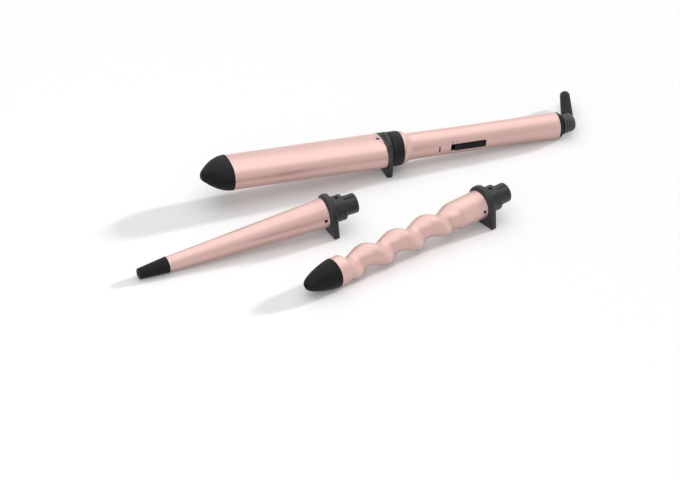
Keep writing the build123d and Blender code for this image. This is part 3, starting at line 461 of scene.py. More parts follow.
# ---------------------------------------------------------------- modelling
class Workshop:
    """Modelling moves. Each is made by operators, on one object at a time."""

    @staticmethod
    def clear() -> None:
        """Leaves edit mode and deselects everything."""
        if bpy.context.mode != "OBJECT":
            bpy.ops.object.mode_set(mode="OBJECT")
        bpy.ops.object.select_all(action="DESELECT")

    @staticmethod
    def hold(piece: bpy.types.Object) -> None:
        """Makes one object the only one selected, and the active one.

        Args:
            piece: the object.
        """
        Workshop.clear()
        piece.select_set(True)
        bpy.context.view_layer.objects.active = piece

    @staticmethod
    def named(name: str) -> bpy.types.Object:
        """Names the active object and its mesh.

        Args:
            name: the piece's name.

        Returns:
            The object.
        """
        piece = bpy.context.object
        piece.name = piece.data.name = name
        return piece

    @staticmethod
    def sweep(name: str, rings: Sequence[tuple], sides: int = 96, closed: bool = False,
              outline: Callable[[float], tuple[float, float]] | None = None,
              ) -> bpy.types.Object:
        """Extrudes a ring of points along x, moved and resized from station to station.

        Args:
            name: the piece's name.
            rings: stations (x, y size, z size, y, z), from tip to cord for an outer wall.
            sides: points in the ring.
            closed: joins the last ring to the first, for a wall with a bore through it.
            outline: gives the ring's shape of size 1 from a share of the turn; else a circle.

        Returns:
            The object. Ends that aren't joined are closed flat.
        """
        Workshop.clear()
        x, wide, tall, y, z = rings[0]
        bpy.ops.mesh.primitive_circle_add(vertices=sides, radius=1.0, fill_type="NOTHING",
                                          rotation=(0, math.pi / 2, 0))
        piece = Workshop.named(name)
        bpy.ops.object.transform_apply(location=False, rotation=True, scale=False)
        for number, corner in enumerate(piece.data.vertices):
            turn = 2 * math.pi * number / sides
            across, up = outline(turn) if outline else (math.cos(turn), math.sin(turn))
            corner.co = (x, y + wide * across, z + tall * up)
        bpy.ops.object.mode_set(mode="EDIT")
        bpy.ops.mesh.select_all(action="SELECT")
        for x2, wide2, tall2, y2, z2 in rings[1:]:
            bpy.ops.mesh.extrude_edges_move(
                TRANSFORM_OT_translate={"value": (x2 - x, y2 - y, z2 - z)})
            bpy.ops.transform.resize(value=(1, wide2 / wide, tall2 / tall),
                                     center_override=(x2, y2, z2))
            x, wide, tall, y, z = x2, wide2, tall2, y2, z2
        bpy.ops.mesh.select_all(action="SELECT")
        bpy.ops.mesh.remove_doubles(threshold=0.0005)
        if not closed:
            bpy.ops.mesh.fill_holes(sides=0)
        bpy.ops.mesh.normals_make_consistent(inside=False)
        bpy.ops.object.mode_set(mode="OBJECT")
        return piece

    @staticmethod
    def turned(name: str, outline: Sequence[Station], sides: int = 96) -> bpy.types.Object:
        """Turns an outline round x.

        Args:
            name: the piece's name.
            outline: corners (x, radius) of the half section, closed onto the first corner.
            sides: points round the axis.

        Returns:
            The object.
        """
        rings = [(x, radius, radius, 0.0, 0.0) for x, radius in [*outline, outline[0]]]
        return Workshop.sweep(name, rings, sides, closed=True)

    @staticmethod
    def rod(name: str, radius: float, start: float, end: float, y: float = 0.0,
            z: float = 0.0, sides: int = 64) -> bpy.types.Object:
        """Round bar along x, for shaping another piece.

        Args:
            name: the bar's name.
            radius: its radius.
            start: its low end.
            end: its high end.
            y: place across.
            z: place up.
            sides: points round it.

        Returns:
            The object.
        """
        return Workshop.sweep(name, [(start, radius, radius, y, z), (end, radius, radius, y, z)],
                              sides)

    @staticmethod
    def spoke(name: str, radius: float, start: float, end: float, x: float, roll: float,
              sides: int = 48) -> bpy.types.Object:
        """Round bar square to the axis at x.

        Args:
            name: the bar's name.
            radius: its radius.
            start: distance of its inner end from the axis.
            end: distance of its outer end.
            x: place along the axis.
            roll: 0 points to -y and 90 points up.
            sides: points round it.

        Returns:
            The object.
        """
        bar = Workshop.rod(name, radius, start, end, sides=sides)
        turn = Matrix.Rotation(math.radians(-roll), 4, "X") @ Matrix.Rotation(
            math.radians(-90), 4, "Z")
        return Workshop.shift(bar, Matrix.Translation((x, 0, 0)) @ turn)

    @staticmethod
    def block(name: str, low: Sequence[float], high: Sequence[float], edge: float = 0.0,
              steps: int = 3) -> bpy.types.Object:
        """Box between two corners with rounded edges.

        Args:
            name: the box's name.
            low: its low corner.
            high: its high corner.
            edge: radius of its edges.
            steps: segments in each rounded edge.

        Returns:
            The object.
        """
        Workshop.clear()
        bpy.ops.mesh.primitive_cube_add(size=1.0)
        box = Workshop.named(name)
        size = [b - a for a, b in zip(low, high)]
        middle = [(a + b) / 2 for a, b in zip(low, high)]
        Workshop.shift(box, Matrix.Translation(middle) @ Matrix.Diagonal((*size, 1.0)))
        if edge:
            bpy.ops.object.mode_set(mode="EDIT")
            bpy.ops.mesh.select_all(action="SELECT")
            bpy.ops.mesh.bevel(offset=edge, segments=steps, affect="EDGES")
            bpy.ops.object.mode_set(mode="OBJECT")
        return box

    @staticmethod
    def shift(piece: bpy.types.Object, move: Matrix) -> bpy.types.Object:
        """Moves a piece and applies the move to its mesh.

        Args:
            piece: the object.
            move: the move.

        Returns:
            The same object.
        """
        Workshop.hold(piece)
        piece.matrix_world = move
        bpy.ops.object.transform_apply(location=True, rotation=True, scale=True)
        return piece

    @staticmethod
    def blend(piece: bpy.types.Object, tools: Iterable[bpy.types.Object],
              operation: str = "DIFFERENCE") -> bpy.types.Object:
        """Cuts tools out of a piece, or joins them to it, and removes them.

        Args:
            piece: the object that is shaped.
            tools: the objects that shape it.
            operation: DIFFERENCE, UNION or INTERSECT.

        Returns:
            The shaped object.
        """
        for tool in tools:
            Workshop.hold(piece)
            change = piece.modifiers.new("shape", "BOOLEAN")
            change.object, change.operation, change.solver = tool, operation, "EXACT"
            bpy.ops.object.modifier_apply(modifier=change.name)
            bpy.data.objects.remove(tool, do_unlink=True)
        return piece

    @staticmethod
    def soften(piece: bpy.types.Object, width: float, steps: int = 2,
               angle: float = 32.0) -> bpy.types.Object:
        """Rounds the sharp edges and smooths the rest.

        Args:
            piece: the object.
            width: width of the rounding.
            steps: segments across it.
            angle: edges sharper than this many degrees are rounded.

        Returns:
            The same object.
        """
        Workshop.hold(piece)
        if width:
            edge = piece.modifiers.new("edge", "BEVEL")
            edge.width, edge.segments, edge.limit_method = width, steps, "ANGLE"
            edge.angle_limit = math.radians(angle)
            edge.use_clamp_overlap = True
            edge.harden_normals = False
            bpy.ops.object.modifier_apply(modifier=edge.name)
        bpy.ops.object.shade_smooth_by_angle(angle=math.radians(angle))
        return piece


# ---------------------------------------------------------------- places
@dataclass(frozen=True)
class Axis:
    matrix: Matrix

    @classmethod
    def through(cls, point: Sequence[float], heading: Sequence[float], x: float) -> "Axis":
        """Axis through a point of the frame.

        Args:
            point: a point on the axis, in metres.
            heading: the axis's direction.
            x: that point's place along the axis, in millimetres.

        Returns:
            The axis.
        """
        along = Vector(heading).normalized()
        side = Vector((0, 0, 1)).cross(along).normalized()
        up = along.cross(side)
        start = Vector(point) - along * x * MM
        turn = Matrix((along, side, up)).transposed().to_4x4()
        return cls(Matrix.Translation(start) @ turn @ Matrix.Scale(MM, 4))


@dataclass
class Assembly:
    """Pieces that share one barrel axis."""

    axis: Axis

    def seat(self, piece: bpy.types.Object, body: str, finish: Finish, slot: str,
             stands_for: Sequence[str] = ()) -> bpy.types.Object:
        """Sets a finished piece on its axis, dresses it and makes it ride.

        Args:
            piece: the object, in millimetres on its axis.
            body: the CAD body that carries it.
            finish: its finish.
            slot: the record's material slot; not used.
            stands_for: the CAD nodes that it replaces.

        Returns:
            The object.
        """
        Workshop.shift(piece, self.axis.matrix)
        piece.data.materials.clear()
        piece.data.materials.append(finish.material())
        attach(piece, body)
        if stands_for:
            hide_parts(*stands_for)
        log.info("%s rides on %s", piece.name, body)
        return piece


# ---------------------------------------------------------------- outlines
def curve(points: Sequence[Station], count: int) -> list[Station]:
    """Points on a cubic Bezier curve, without its first one.

    Args:
        points: its four control points.
        count: how many points to give.

    Returns:
        The points.
    """
    (x0, r0), (x1, r1), (x2, r2), (x3, r3) = points
    found = []
    for step in range(1, count + 1):
        t = step / count
        a, b, c, d = (1 - t)**3, 3 * t * (1 - t)**2, 3 * t * t * (1 - t), t**3
        found.append((a * x0 + b * x1 + c * x2 + d * x3, a * r0 + b * r1 + c * r2 + d * r3))
    return found


def rounded_end(x: float, radius: float, soft: float) -> list[Station]:
    """Rounding of a turned edge that faces along x, without its first point.

    Args:
        x: place of the end face.
        radius: radius of the wall that is rounded off.
        soft: radius of the rounding, below 0 where the end faces -x.

    Returns:
        The points.
    """
    found = []
    for step in range(1, 5):
        turn = step / 4 * math.pi / 2
        found.append((x - soft + soft * math.sin(turn),
                      radius - abs(soft) + abs(soft) * math.cos(turn)))
    return found


# ---------------------------------------------------------------- barrels
@dataclass
class Barrel(Assembly):
    """What the three barrels share: the black base with its foot and its stepped coupling."""

    name: str = "barrel"
    length: float = 140.0
    skin: float = 12.5
    lip: float = 0.3
    flange: tuple[float, float] = (1.2, 6.4)
    rim: float = 15.0
    foot: float = 18.8
    foot_round: float = 1.2
    coupling: tuple[float, float] = (10.9, 17.0)
    plug: tuple[float, float] = (8.3, 28.4)
    mouth: tuple[float, float] = (7.05, 20.6)
    core: tuple[float, float] = (3.0, 3.4)
    disc_bore: float = 2.0
    key: tuple[float, float] = (2.0, 0.5)
    latch: tuple[float, float, float] = (11.8, 1.5, 86.0)
    screw: tuple[float, float, float] = (-3.4, 1.65, 0.0)
    tip_bore: float = 1.8

    @property
    def body(self) -> str:
        """The CAD body of this barrel."""
        return f"{self.name}_barrel"

    def base(self) -> None:
        """Models the flange with its foot and its stepped, keyed coupling."""
        piece = self.flange_piece()
        low, high = self.flange
        foot = Workshop.block("foot", (low, -self.rim, -self.foot), (high, self.rim, -1.0),
                              self.foot_round, 4)
        Workshop.blend(piece, [foot], "UNION")
        edge = 0.6
        body_r, body_end = self.coupling
        plug_r, plug_end = self.plug
        mouth_r, mouth_floor = self.mouth
        core_bore, core_r = self.core
        steps = Workshop.turned("coupling", [
            (high - 1, core_bore), (high - 1, body_r), (body_end - edge, body_r),
            (body_end, body_r - edge), (body_end, plug_r), (plug_end - edge, plug_r),
            (plug_end, plug_r - edge), (plug_end, mouth_r), (mouth_floor, mouth_r),
            (mouth_floor, core_bore),
        ], 80)
        half, high_key = self.key
        key = Workshop.block("key", (body_end - 1, -half, plug_r - 2),
                             (plug_end - 1.5, half, plug_r + high_key))
        Workshop.blend(piece, [steps, key], "UNION")
        core = Workshop.rod("core", core_r, high - 2.5, mouth_floor - 0.4)
        Workshop.blend(piece, [core], "UNION")
        x, radius, roll = self.latch
        hole = Workshop.spoke("hole", radius, body_r - 1.5, body_r + 2, x, roll)
        Workshop.blend(piece, [hole])
        Workshop.soften(piece, 0.22, 2, 38)
        self.seat(piece, self.body, Finish.BASE, "black_plastic", [f"{self.name}_base"])

    def flange_piece(self) -> bpy.types.Object:
        """Models the round flange with the shoulder that meets the tube.

        Returns:
            The object.
        """
        low, high = self.flange
        soft = self.foot_round
        outline = [(0.0, self.skin - 3.0), (0.0, self.skin + self.lip - 0.1),
                   (0.1, self.skin + self.lip)]
        count = 6
        for step in range(1, count + 1):
            share = step / count
            lift = math.sin(share * math.pi / 2)
            outline.append((0.1 + share * (low + soft - 0.1),
                            self.skin + self.lip + lift * (self.rim - self.skin - self.lip)))
        outline += [(high - soft, self.rim), *rounded_end(high, self.rim, soft),
                    (high, self.disc_bore), (high - 2.0, self.disc_bore)]
        return Workshop.turned(f"{self.name}_base_moulding", outline)

    def screw_hole(self) -> bpy.types.Object:
        """The tool that drills the tube for its base screw."""
        x, radius, roll = self.screw
        return Workshop.spoke("drill", radius, self.skin - 3.0, self.skin + 3.0, x, roll)

    def stations(self) -> Sequence[float]:
        """Places of a straight tube's rings, close together where its ends are softened."""
        return (-self.length, 1.0 - self.length, -100.0, -60.0, -30.0, -8.0, -1.0, 0.0)

    def tube_and_tip(self) -> None:
        """Models the heated tube and the cool tip. Each barrel has its own."""
        raise NotImplementedError

    def build(self) -> None:
        """Models the whole barrel."""
        self.tube_and_tip()
        self.base()

    def finish_tube(self, piece: bpy.types.Object, edge: float = 0.25) -> None:
        """Drills, softens and seats the tube.

        Args:
            piece: the tube, in millimetres on its axis.
            edge: width of the rounding of its ends.
        """
        Workshop.blend(piece, [self.screw_hole()])
        Workshop.soften(piece, edge, 2, 40)
        self.seat(piece, self.body, Finish.PINK, "pink_metallic", [f"{self.name}_tube"])

    def finish_tip(self, piece: bpy.types.Object) -> None:
        """Softens and seats the tip.

        Args:
            piece: the tip, in millimetres on its axis.
        """
        Workshop.soften(piece, 0.2, 2, 40)
        self.seat(piece, self.body, Finish.BLACK, "black_plastic", [f"{self.name}_tip"])


@dataclass
class ConeBarrel(Barrel):
    """The spare conical barrel."""

    name: str = "cone"
    length: float = 138.5
    tip_radius: float = 6.5
    wall: float = 1.2
    tip_length: float = 25.5
    end_radius: float = 4.6

    def tube_and_tip(self) -> None:
        """Models the conical tube and its tapered tip."""
        far = -self.length
        slope = (self.skin - self.tip_radius) / self.length
        outline = [(x, self.skin + x * slope) for x in self.stations()]
        tube = Workshop.turned("cone_barrel_skin", [
            *outline, (0.0, self.skin - self.wall), (far, self.tip_radius - self.wall)], 112)
        self.finish_tube(tube)
        end, soft, bore = far - self.tip_length, 1.2, self.tip_bore
        base, back_bore = self.tip_radius + self.lip, 2.6
        outline = [(far, back_bore), (far, base - 0.15), (far - 0.15, base)]
        for step in range(1, 9):
            share = step / 8
            x = far - 0.15 - share * (self.tip_length - soft - 0.15)
            outline.append((x, base + share * (self.end_radius - base)))
        outline += [*rounded_end(end, self.end_radius, -soft), (end, bore + 0.2),
                    (end + 0.2, bore), (far - 0.1, bore), (far - 0.1, back_bore)]
        self.finish_tip(Workshop.turned("cone_cool_tip", outline, 80))


@dataclass
class SpiralBarrel(Barrel):
    """The spare corkscrew barrel. Each run is its length and the stretch over which it fades."""

    name: str = "spiral"
    skin: float = 12.1
    length: float = 150.0
    valley: float = 7.2
    sharpness: float = 1.1
    steepness: float = 0.25
    wander: float = 3.0
    pitch: float = 31.0
    ring: tuple[float, float] = (7.5, 4.0)
    plain: tuple[float, float] = (22.0, 14.0)
    ridge: float = -52.5
    collar: tuple[float, float] = (10.9, -12.0)
    bore: float = 5.4
    tip_length: float = 28.0
    tip_flat: float = 3.1

    def skin_at(self, x: float, turn: float) -> float:
        """The corkscrew's radius at a point of its skin.

        Args:
            x: the point's place along the axis.
            turn: its angle from the top towards -y.

        Returns:
            The radius.
        """
        (ring, ring_run), (plain, plain_run) = self.ring, self.plain
        share = max(0.0, min(1.0, (x + self.length - ring) / ring_run, (-plain - x) / plain_run))
        share = share * share * (3 - 2 * share)
        crest = self.ridge + self.pitch * turn / (2 * math.pi)
        crest += self.wander * (1 - math.cos(turn)) / 2
        phase = 2 * math.pi * (x - crest) / self.pitch
        phase += self.steepness * (1 - math.cos(phase))
        height = ((1 + math.cos(phase)) / 2)**self.sharpness
        return self.skin - share * (self.skin - self.valley) * (1 - height)

    def tube_and_tip(self) -> None:
        """Models the corkscrew and its bullet tip."""
        far = -self.length
        count = 190
        rings = [(far + self.length * step / count, self.skin, self.skin, 0.0, 0.0)
                 for step in range(count + 1)]
        wide, collar_end = self.collar
        for x, bore in ((0.0, wide), (collar_end, wide), (collar_end, self.bore),
                        (far, self.bore)):
            rings.append((x, bore, bore, 0.0, 0.0))
        rings.append(rings[0])
        tube = Workshop.sweep("corkscrew_barrel_skin", rings, 144, closed=True)
        for corner in tube.data.vertices:
            x, y, z = corner.co
            if math.hypot(y, z) > self.skin - 0.1:
                size = self.skin_at(x, math.atan2(-y, z)) / self.skin
                corner.co = (x, y * size, z * size)
        self.finish_tube(tube)
        base, bore, back_bore = self.skin + self.lip, self.tip_bore, 5.0
        end = far - self.tip_length
        outline = [(far, back_bore), (far, base - 0.2), (far - 0.2, base)]
        for share, size in ((0.09, 0.975), (0.18, 0.945), (0.27, 0.908), (0.36, 0.866),
                            (0.45, 0.818), (0.54, 0.762), (0.63, 0.70), (0.72, 0.63),
                            (0.81, 0.55), (0.89, 0.465), (0.95, 0.38), (0.985, 0.31)):
            outline.append((far - share * self.tip_length, size * base))
        outline += [(end, self.tip_flat - 0.3), (end, bore + 0.2), (end + 0.3, bore),
                    (far - 0.1, bore), (far - 0.1, back_bore)]
        self.finish_tip(Workshop.turned("corkscrew_cool_tip", outline, 96))


@dataclass(frozen=True)
class Oval:
    """Outline of four tangent arcs, a long one above and below and a short one at each side."""

    wide: float
    tall: float
    end_share: float = 0.93

    def at(self, turn: float) -> tuple[float, float]:
        """The outline's point in a direction.

        Args:
            turn: the direction's angle on a circle that is stretched to the outline's size.

        Returns:
            The point, as shares of the half width and the half height.
        """
        across, up = self.wide * math.cos(turn), self.tall * math.sin(turn)
        size = math.hypot(across, up)
        c, s = abs(across) / size, abs(up) / size
        end = self.end_share * self.tall
        reach = self.wide - end
        crown = (reach**2 + self.tall**2 - end**2) / (2 * (self.tall - end))
        drop = crown - self.tall
        share = end / (crown - end)
        if math.atan2(s, c) > math.atan2(share * drop, reach * (1 + share)):
            far = -drop * s + math.sqrt((drop * s)**2 - drop**2 + crown**2)
        else:
            far = reach * c + math.sqrt((reach * c)**2 - reach**2 + end**2)
        return (math.copysign(far * c / self.wide, across), math.copysign(far * s / self.tall, up))


@dataclass
class OvalBarrel(Barrel):
    """The wide oval barrel in the handle."""

    name: str = "oval"
    skin: float = 11.9
    length: float = 133.5
    wide: float = 18.3
    wall: float = 1.2
    tip_length: float = 24.0
    tip_flat: float = 3.1
    screw: tuple[float, float, float] = (-3.4, 1.65, 90.0)

    def tube_and_tip(self) -> None:
        """Models the oval tube and its parabolic tip."""
        far, shape = -self.length, Oval(self.wide, self.skin)
        thin_w, thin_t = self.wide - self.wall, self.skin - self.wall
        rings = [(x, self.wide, self.skin, 0, 0) for x in self.stations()]
        rings += [(0.0, thin_w, thin_t, 0, 0), (far, thin_w, thin_t, 0, 0), rings[0]]
        self.finish_tube(Workshop.sweep("oval_barrel_skin", rings, 160, True, shape.at))
        wide, tall, flat = self.wide + self.lip, self.skin + self.lip, self.tip_flat
        rings = [(far + 0.2, wide * 0.7, tall * 0.7, 0, 0), (far, wide - 0.2, tall - 0.2, 0, 0),
                 (far - 0.2, wide, tall, 0, 0)]
        count = 24
        for step in range(1, count):
            share = step / count
            size = 1 - share**2
            rings.append((far - 0.2 - share * (self.tip_length - 0.2), flat + (wide - flat) * size,
                          flat + (tall - flat) * size, 0, 0))
        end = far - self.tip_length
        rings.append((end, flat - 0.3, flat - 0.3, 0, 0))
        tip = Workshop.sweep("oval_cool_tip", rings, 128, False, shape.at)
        hole = Workshop.rod("hole", self.tip_bore, end - 2, far - 1.0)
        self.finish_tip(Workshop.blend(tip, [hole]))

    def flange_piece(self) -> bpy.types.Object:
        """Models the shoulder that runs from the oval tube to the round flange, with the flange.

        Returns:
            The object.
        """
        low, high = self.flange
        shape = Oval(self.wide + self.lip, self.skin + self.lip)
        steps = [step / 8 for step in range(9)]
        reach = high - 1.5
        rings = [(share * reach, 1.0, 1.0, 0, 0) for share in steps]
        piece = Workshop.sweep("oval_base_moulding", rings, 128)
        for corner in piece.data.vertices:
            turn = math.atan2(corner.co.z, corner.co.y)
            share = corner.co.x / reach
            across, up = shape.at(turn)
            corner.co.y = (1 - share) * across * shape.wide + share * self.rim * math.cos(turn)
            corner.co.z = (1 - share) * up * shape.tall + share * self.rim * math.sin(turn)
        soft = self.foot_round
        outline = [(low + 0.6, self.disc_bore), (low + 0.6, self.rim - 1.0),
                   (low + 1.4, self.rim), (high - soft, self.rim),
                   *rounded_end(high, self.rim, soft), (high, self.disc_bore)]
        return Workshop.blend(piece, [Workshop.turned("disc", outline)], "UNION")


# ---------------------------------------------------------------- handle
@dataclass
class Handle(Assembly):
    """The grip with its switch, its twist ring and its end cap."""

    neck: tuple[float, float] = (16.7, 13.9)
    flare_pulls: tuple[float, float] = (21.5, 20.0)
    shoulder_end: Station = (26.0, 11.35)
    waist: Station = (86.0, 10.9)
    end: Station = (158.5, 11.3)
    hollow: float = 1.7
    bore: float = 8.7
    mouth: float = 12.3
    tail: float = 10.13
    socket_step: float = 17.3
    socket_end: float = 38.5
    ring: tuple[float, float, float] = (6.7, 16.4, 14.7)
    ring_bore: float = 12.26
    ring_relief: tuple[float, float] = (8.2, 13.38)
    ring_groove: tuple[float, float, float] = (10.2, 13.4, 13.75)
    cap_back: float = 162.1
    cap_face: float = 8.4
    cap_spigot: float = 149.5
    cap_bore: tuple[float, float] = (4.65, 5.75)
    knob: tuple[float, float] = (62.4, 90.4)
    knob_half: float = 3.0
    knob_proud: float = 0.55
    knob_root: float = 7.0
    knob_gap: float = 0.25
    knob_grooves: tuple[int, float, float] = (7, 1.1, 0.5)
    travel: float = 3.2
    roll: float = 4.0
    lamp: tuple[float, float, float] = (48.8, 0.75, 2.7)
    marks_x: tuple[float, float] = (60.6, 64.2)
    marks_roll: float = 21.0

    def grip_radius(self, x: float) -> float:
        """The grip's radius behind the shoulder.

        Args:
            x: place along the axis.

        Returns:
            The radius.
        """
        if x < self.waist[0]:
            share = (x - self.shoulder_end[0]) / (self.waist[0] - self.shoulder_end[0])
            start, end = self.shoulder_end[1], self.waist[1]
        else:
            share = (self.end[0] - x) / (self.end[0] - self.waist[0])
            start, end = self.end[1], self.waist[1]
        share = max(0.0, min(1.0, share))
        return end + (start - end) * (1 - share)**self.hollow

    def towards_switch(self) -> Matrix:
        """Turn from square to -y to the switch's own side."""
        return Matrix.Rotation(math.radians(self.roll), 4, "X")

    def grip(self) -> None:
        """Models the metallic grip with its slot and its lamp slit."""
        start, flare = self.neck
        outline = [(start, flare - 0.5)] + curve(
            [(start, flare - 0.5), (start, flare - 0.1), (start + 0.1, flare),
             (start + 0.5, flare)], 3)
        pull_out, pull_in = self.flare_pulls
        outline += curve([(start + 0.5, flare), (pull_out, flare),
                          (pull_in, self.shoulder_end[1] + 0.05), self.shoulder_end], 16)
        outline += [(x, self.grip_radius(x)) for x in range(32, 157, 6)]
        end, radius = self.end
        outline += [(end - 0.4, radius), (end - 0.1, radius - 0.1), (end, radius - 0.4),
                    (end, self.bore), (self.socket_end, self.bore), (self.socket_end, self.tail),
                    (self.socket_step + self.mouth - self.tail, self.tail),
                    (self.socket_step, self.mouth), (start, self.mouth)]
        piece = Workshop.turned("grip_shell", outline, 144)
        low, high = self.knob
        half = self.knob_half + self.knob_gap
        slot = Workshop.block("slot", (low - self.travel - self.knob_gap, -20, -half),
                              (high + self.knob_gap, -5, half))
        x, thick, tall = self.lamp
        slit = Workshop.block("slit", (x - thick, -20, -tall), (x + thick, -5, tall))
        for tool in (slot, slit):
            Workshop.shift(tool, self.towards_switch())
        Workshop.blend(piece, [slot, slit])
        Workshop.soften(piece, 0.18, 2, 40)
        self.seat(piece, "handle", Finish.PINK, "pink_metallic", ["handle_sleeve"])

    def switch(self) -> None:
        """Models the slide knob with its fine finger grooves, its flange and its lug."""
        low, high = self.knob
        half, face, root = self.knob_half, self.waist[1] + self.knob_proud, self.knob_root
        knob = Workshop.block("slide_knob", (low, -2 * root, -half), (high, -root, half), 0.7, 4)
        Workshop.blend(knob, [Workshop.rod("face", face, low - 1, high + 1, sides=256)],
                       "INTERSECT")
        middle = (low + high) / 2
        count, pitch, width = self.knob_grooves
        grooves = []
        for number in range(count):
            x = middle + (number - count // 2) * pitch
            grooves.append(Workshop.block("groove", (x - width / 2, -face - 1, -half + 0.7),
                                          (x + width / 2, -face + 0.22, half - 0.7)))
        Workshop.blend(knob, grooves)
        flange = Workshop.block("flange", (low, -root - 0.4, -half - 1),
                                (high, -root + 0.8, half + 1), 0.2, 2)
        lug = Workshop.block("lug", (middle - 1.5, -root + 0.6, -1.0),
                             (middle + 1.5, -root + 4.0, 1.0), 0.2, 2)
        Workshop.blend(knob, [flange, lug], "UNION")
        Workshop.soften(knob, 0.1, 2, 40)
        Workshop.shift(knob, self.towards_switch())
        self.seat(knob, "switch", Finish.BLACK, "black_plastic", ["switch_knob"])

    def marks(self) -> None:
        """Prints the plain off ring and on stroke above the slot's front end."""
        lift, thick = 0.03, 0.06
        for name, x in zip(("mark_off", "mark_on"), self.marks_x):
            skin = self.grip_radius(x)
            if name == "mark_on":
                mark = Workshop.block(name, (x - 0.18, -skin - lift, -0.85),
                                      (x + 0.18, -skin + thick, 0.85), 0.02, 1)
            else:
                Workshop.clear()
                bpy.ops.mesh.primitive_torus_add(
                    major_radius=0.72, minor_radius=0.17, major_segments=32, minor_segments=8,
                    rotation=(math.pi / 2, 0, 0))
                mark = Workshop.named(name)
                Workshop.shift(mark, mark.matrix_world.copy())
                Workshop.shift(mark, Matrix.Translation((x, -skin, 0)) @ Matrix.Diagonal(
                    (1, 0.25, 1, 1)))
            Workshop.soften(mark, 0.0)
            Workshop.shift(mark, Matrix.Rotation(math.radians(-self.marks_roll), 4, "X"))
            self.seat(mark, "handle", Finish.BLACK, "black_plastic")

    def twist_ring(self) -> None:
        """Models the twist ring with its soft rear edge and the groove for the latch."""
        low, high, radius = self.ring
        soft = 2.4
        bore, (relief_end, relief) = self.ring_bore, self.ring_relief
        groove_low, groove_high, groove = self.ring_groove
        outline = [(low, radius - 0.5), (low + 0.15, radius - 0.15), (low + 0.5, radius),
                   (high - soft, radius)]
        outline += curve([(high - soft, radius), (high - 0.3 * soft, radius),
                          (high, radius - 0.15 * soft), (high, radius - 0.4 * soft)], 10)
        outline += [(high, bore + 0.15), (high - 0.15, bore), (groove_high, bore),
                    (groove_high, groove), (groove_low, groove), (groove_low, bore),
                    (relief_end, bore), (relief_end, relief), (low, relief)]
        piece = Workshop.turned("twist_ring", outline, 144)
        Workshop.soften(piece, 0.0, angle=40)
        self.seat(piece, "lock_ring", Finish.RING, "black_plastic", ["lock_ring"])

    def cap(self) -> None:
        """Models the dome that closes the grip at the cord end."""
        start, rim = self.end[0], self.end[1] - 0.1
        back, face = self.cap_back, self.cap_face
        spigot, (shaft_bore, back_bore) = self.cap_spigot, self.cap_bore
        length = back - start
        outline = [(start, rim)] + curve([(start, rim), (start + 0.7 * length, rim),
                                          (back, face + 1.2), (back, face)], 12)
        outline += [(back, back_bore), (back - 0.15, shaft_bore), (spigot, shaft_bore),
                    (spigot, self.bore - 0.15), (start, self.bore - 0.15)]
        piece = Workshop.turned("cord_end_cap", outline, 112)
        Workshop.soften(piece, 0.15, 2, 40)
        self.seat(piece, "handle", Finish.BLACK, "black_plastic", ["end_cap"])

    def build(self) -> None:
        """Models the handle's outer pieces."""
        self.grip()
        self.switch()
        self.marks()
        self.twist_ring()
        self.cap()


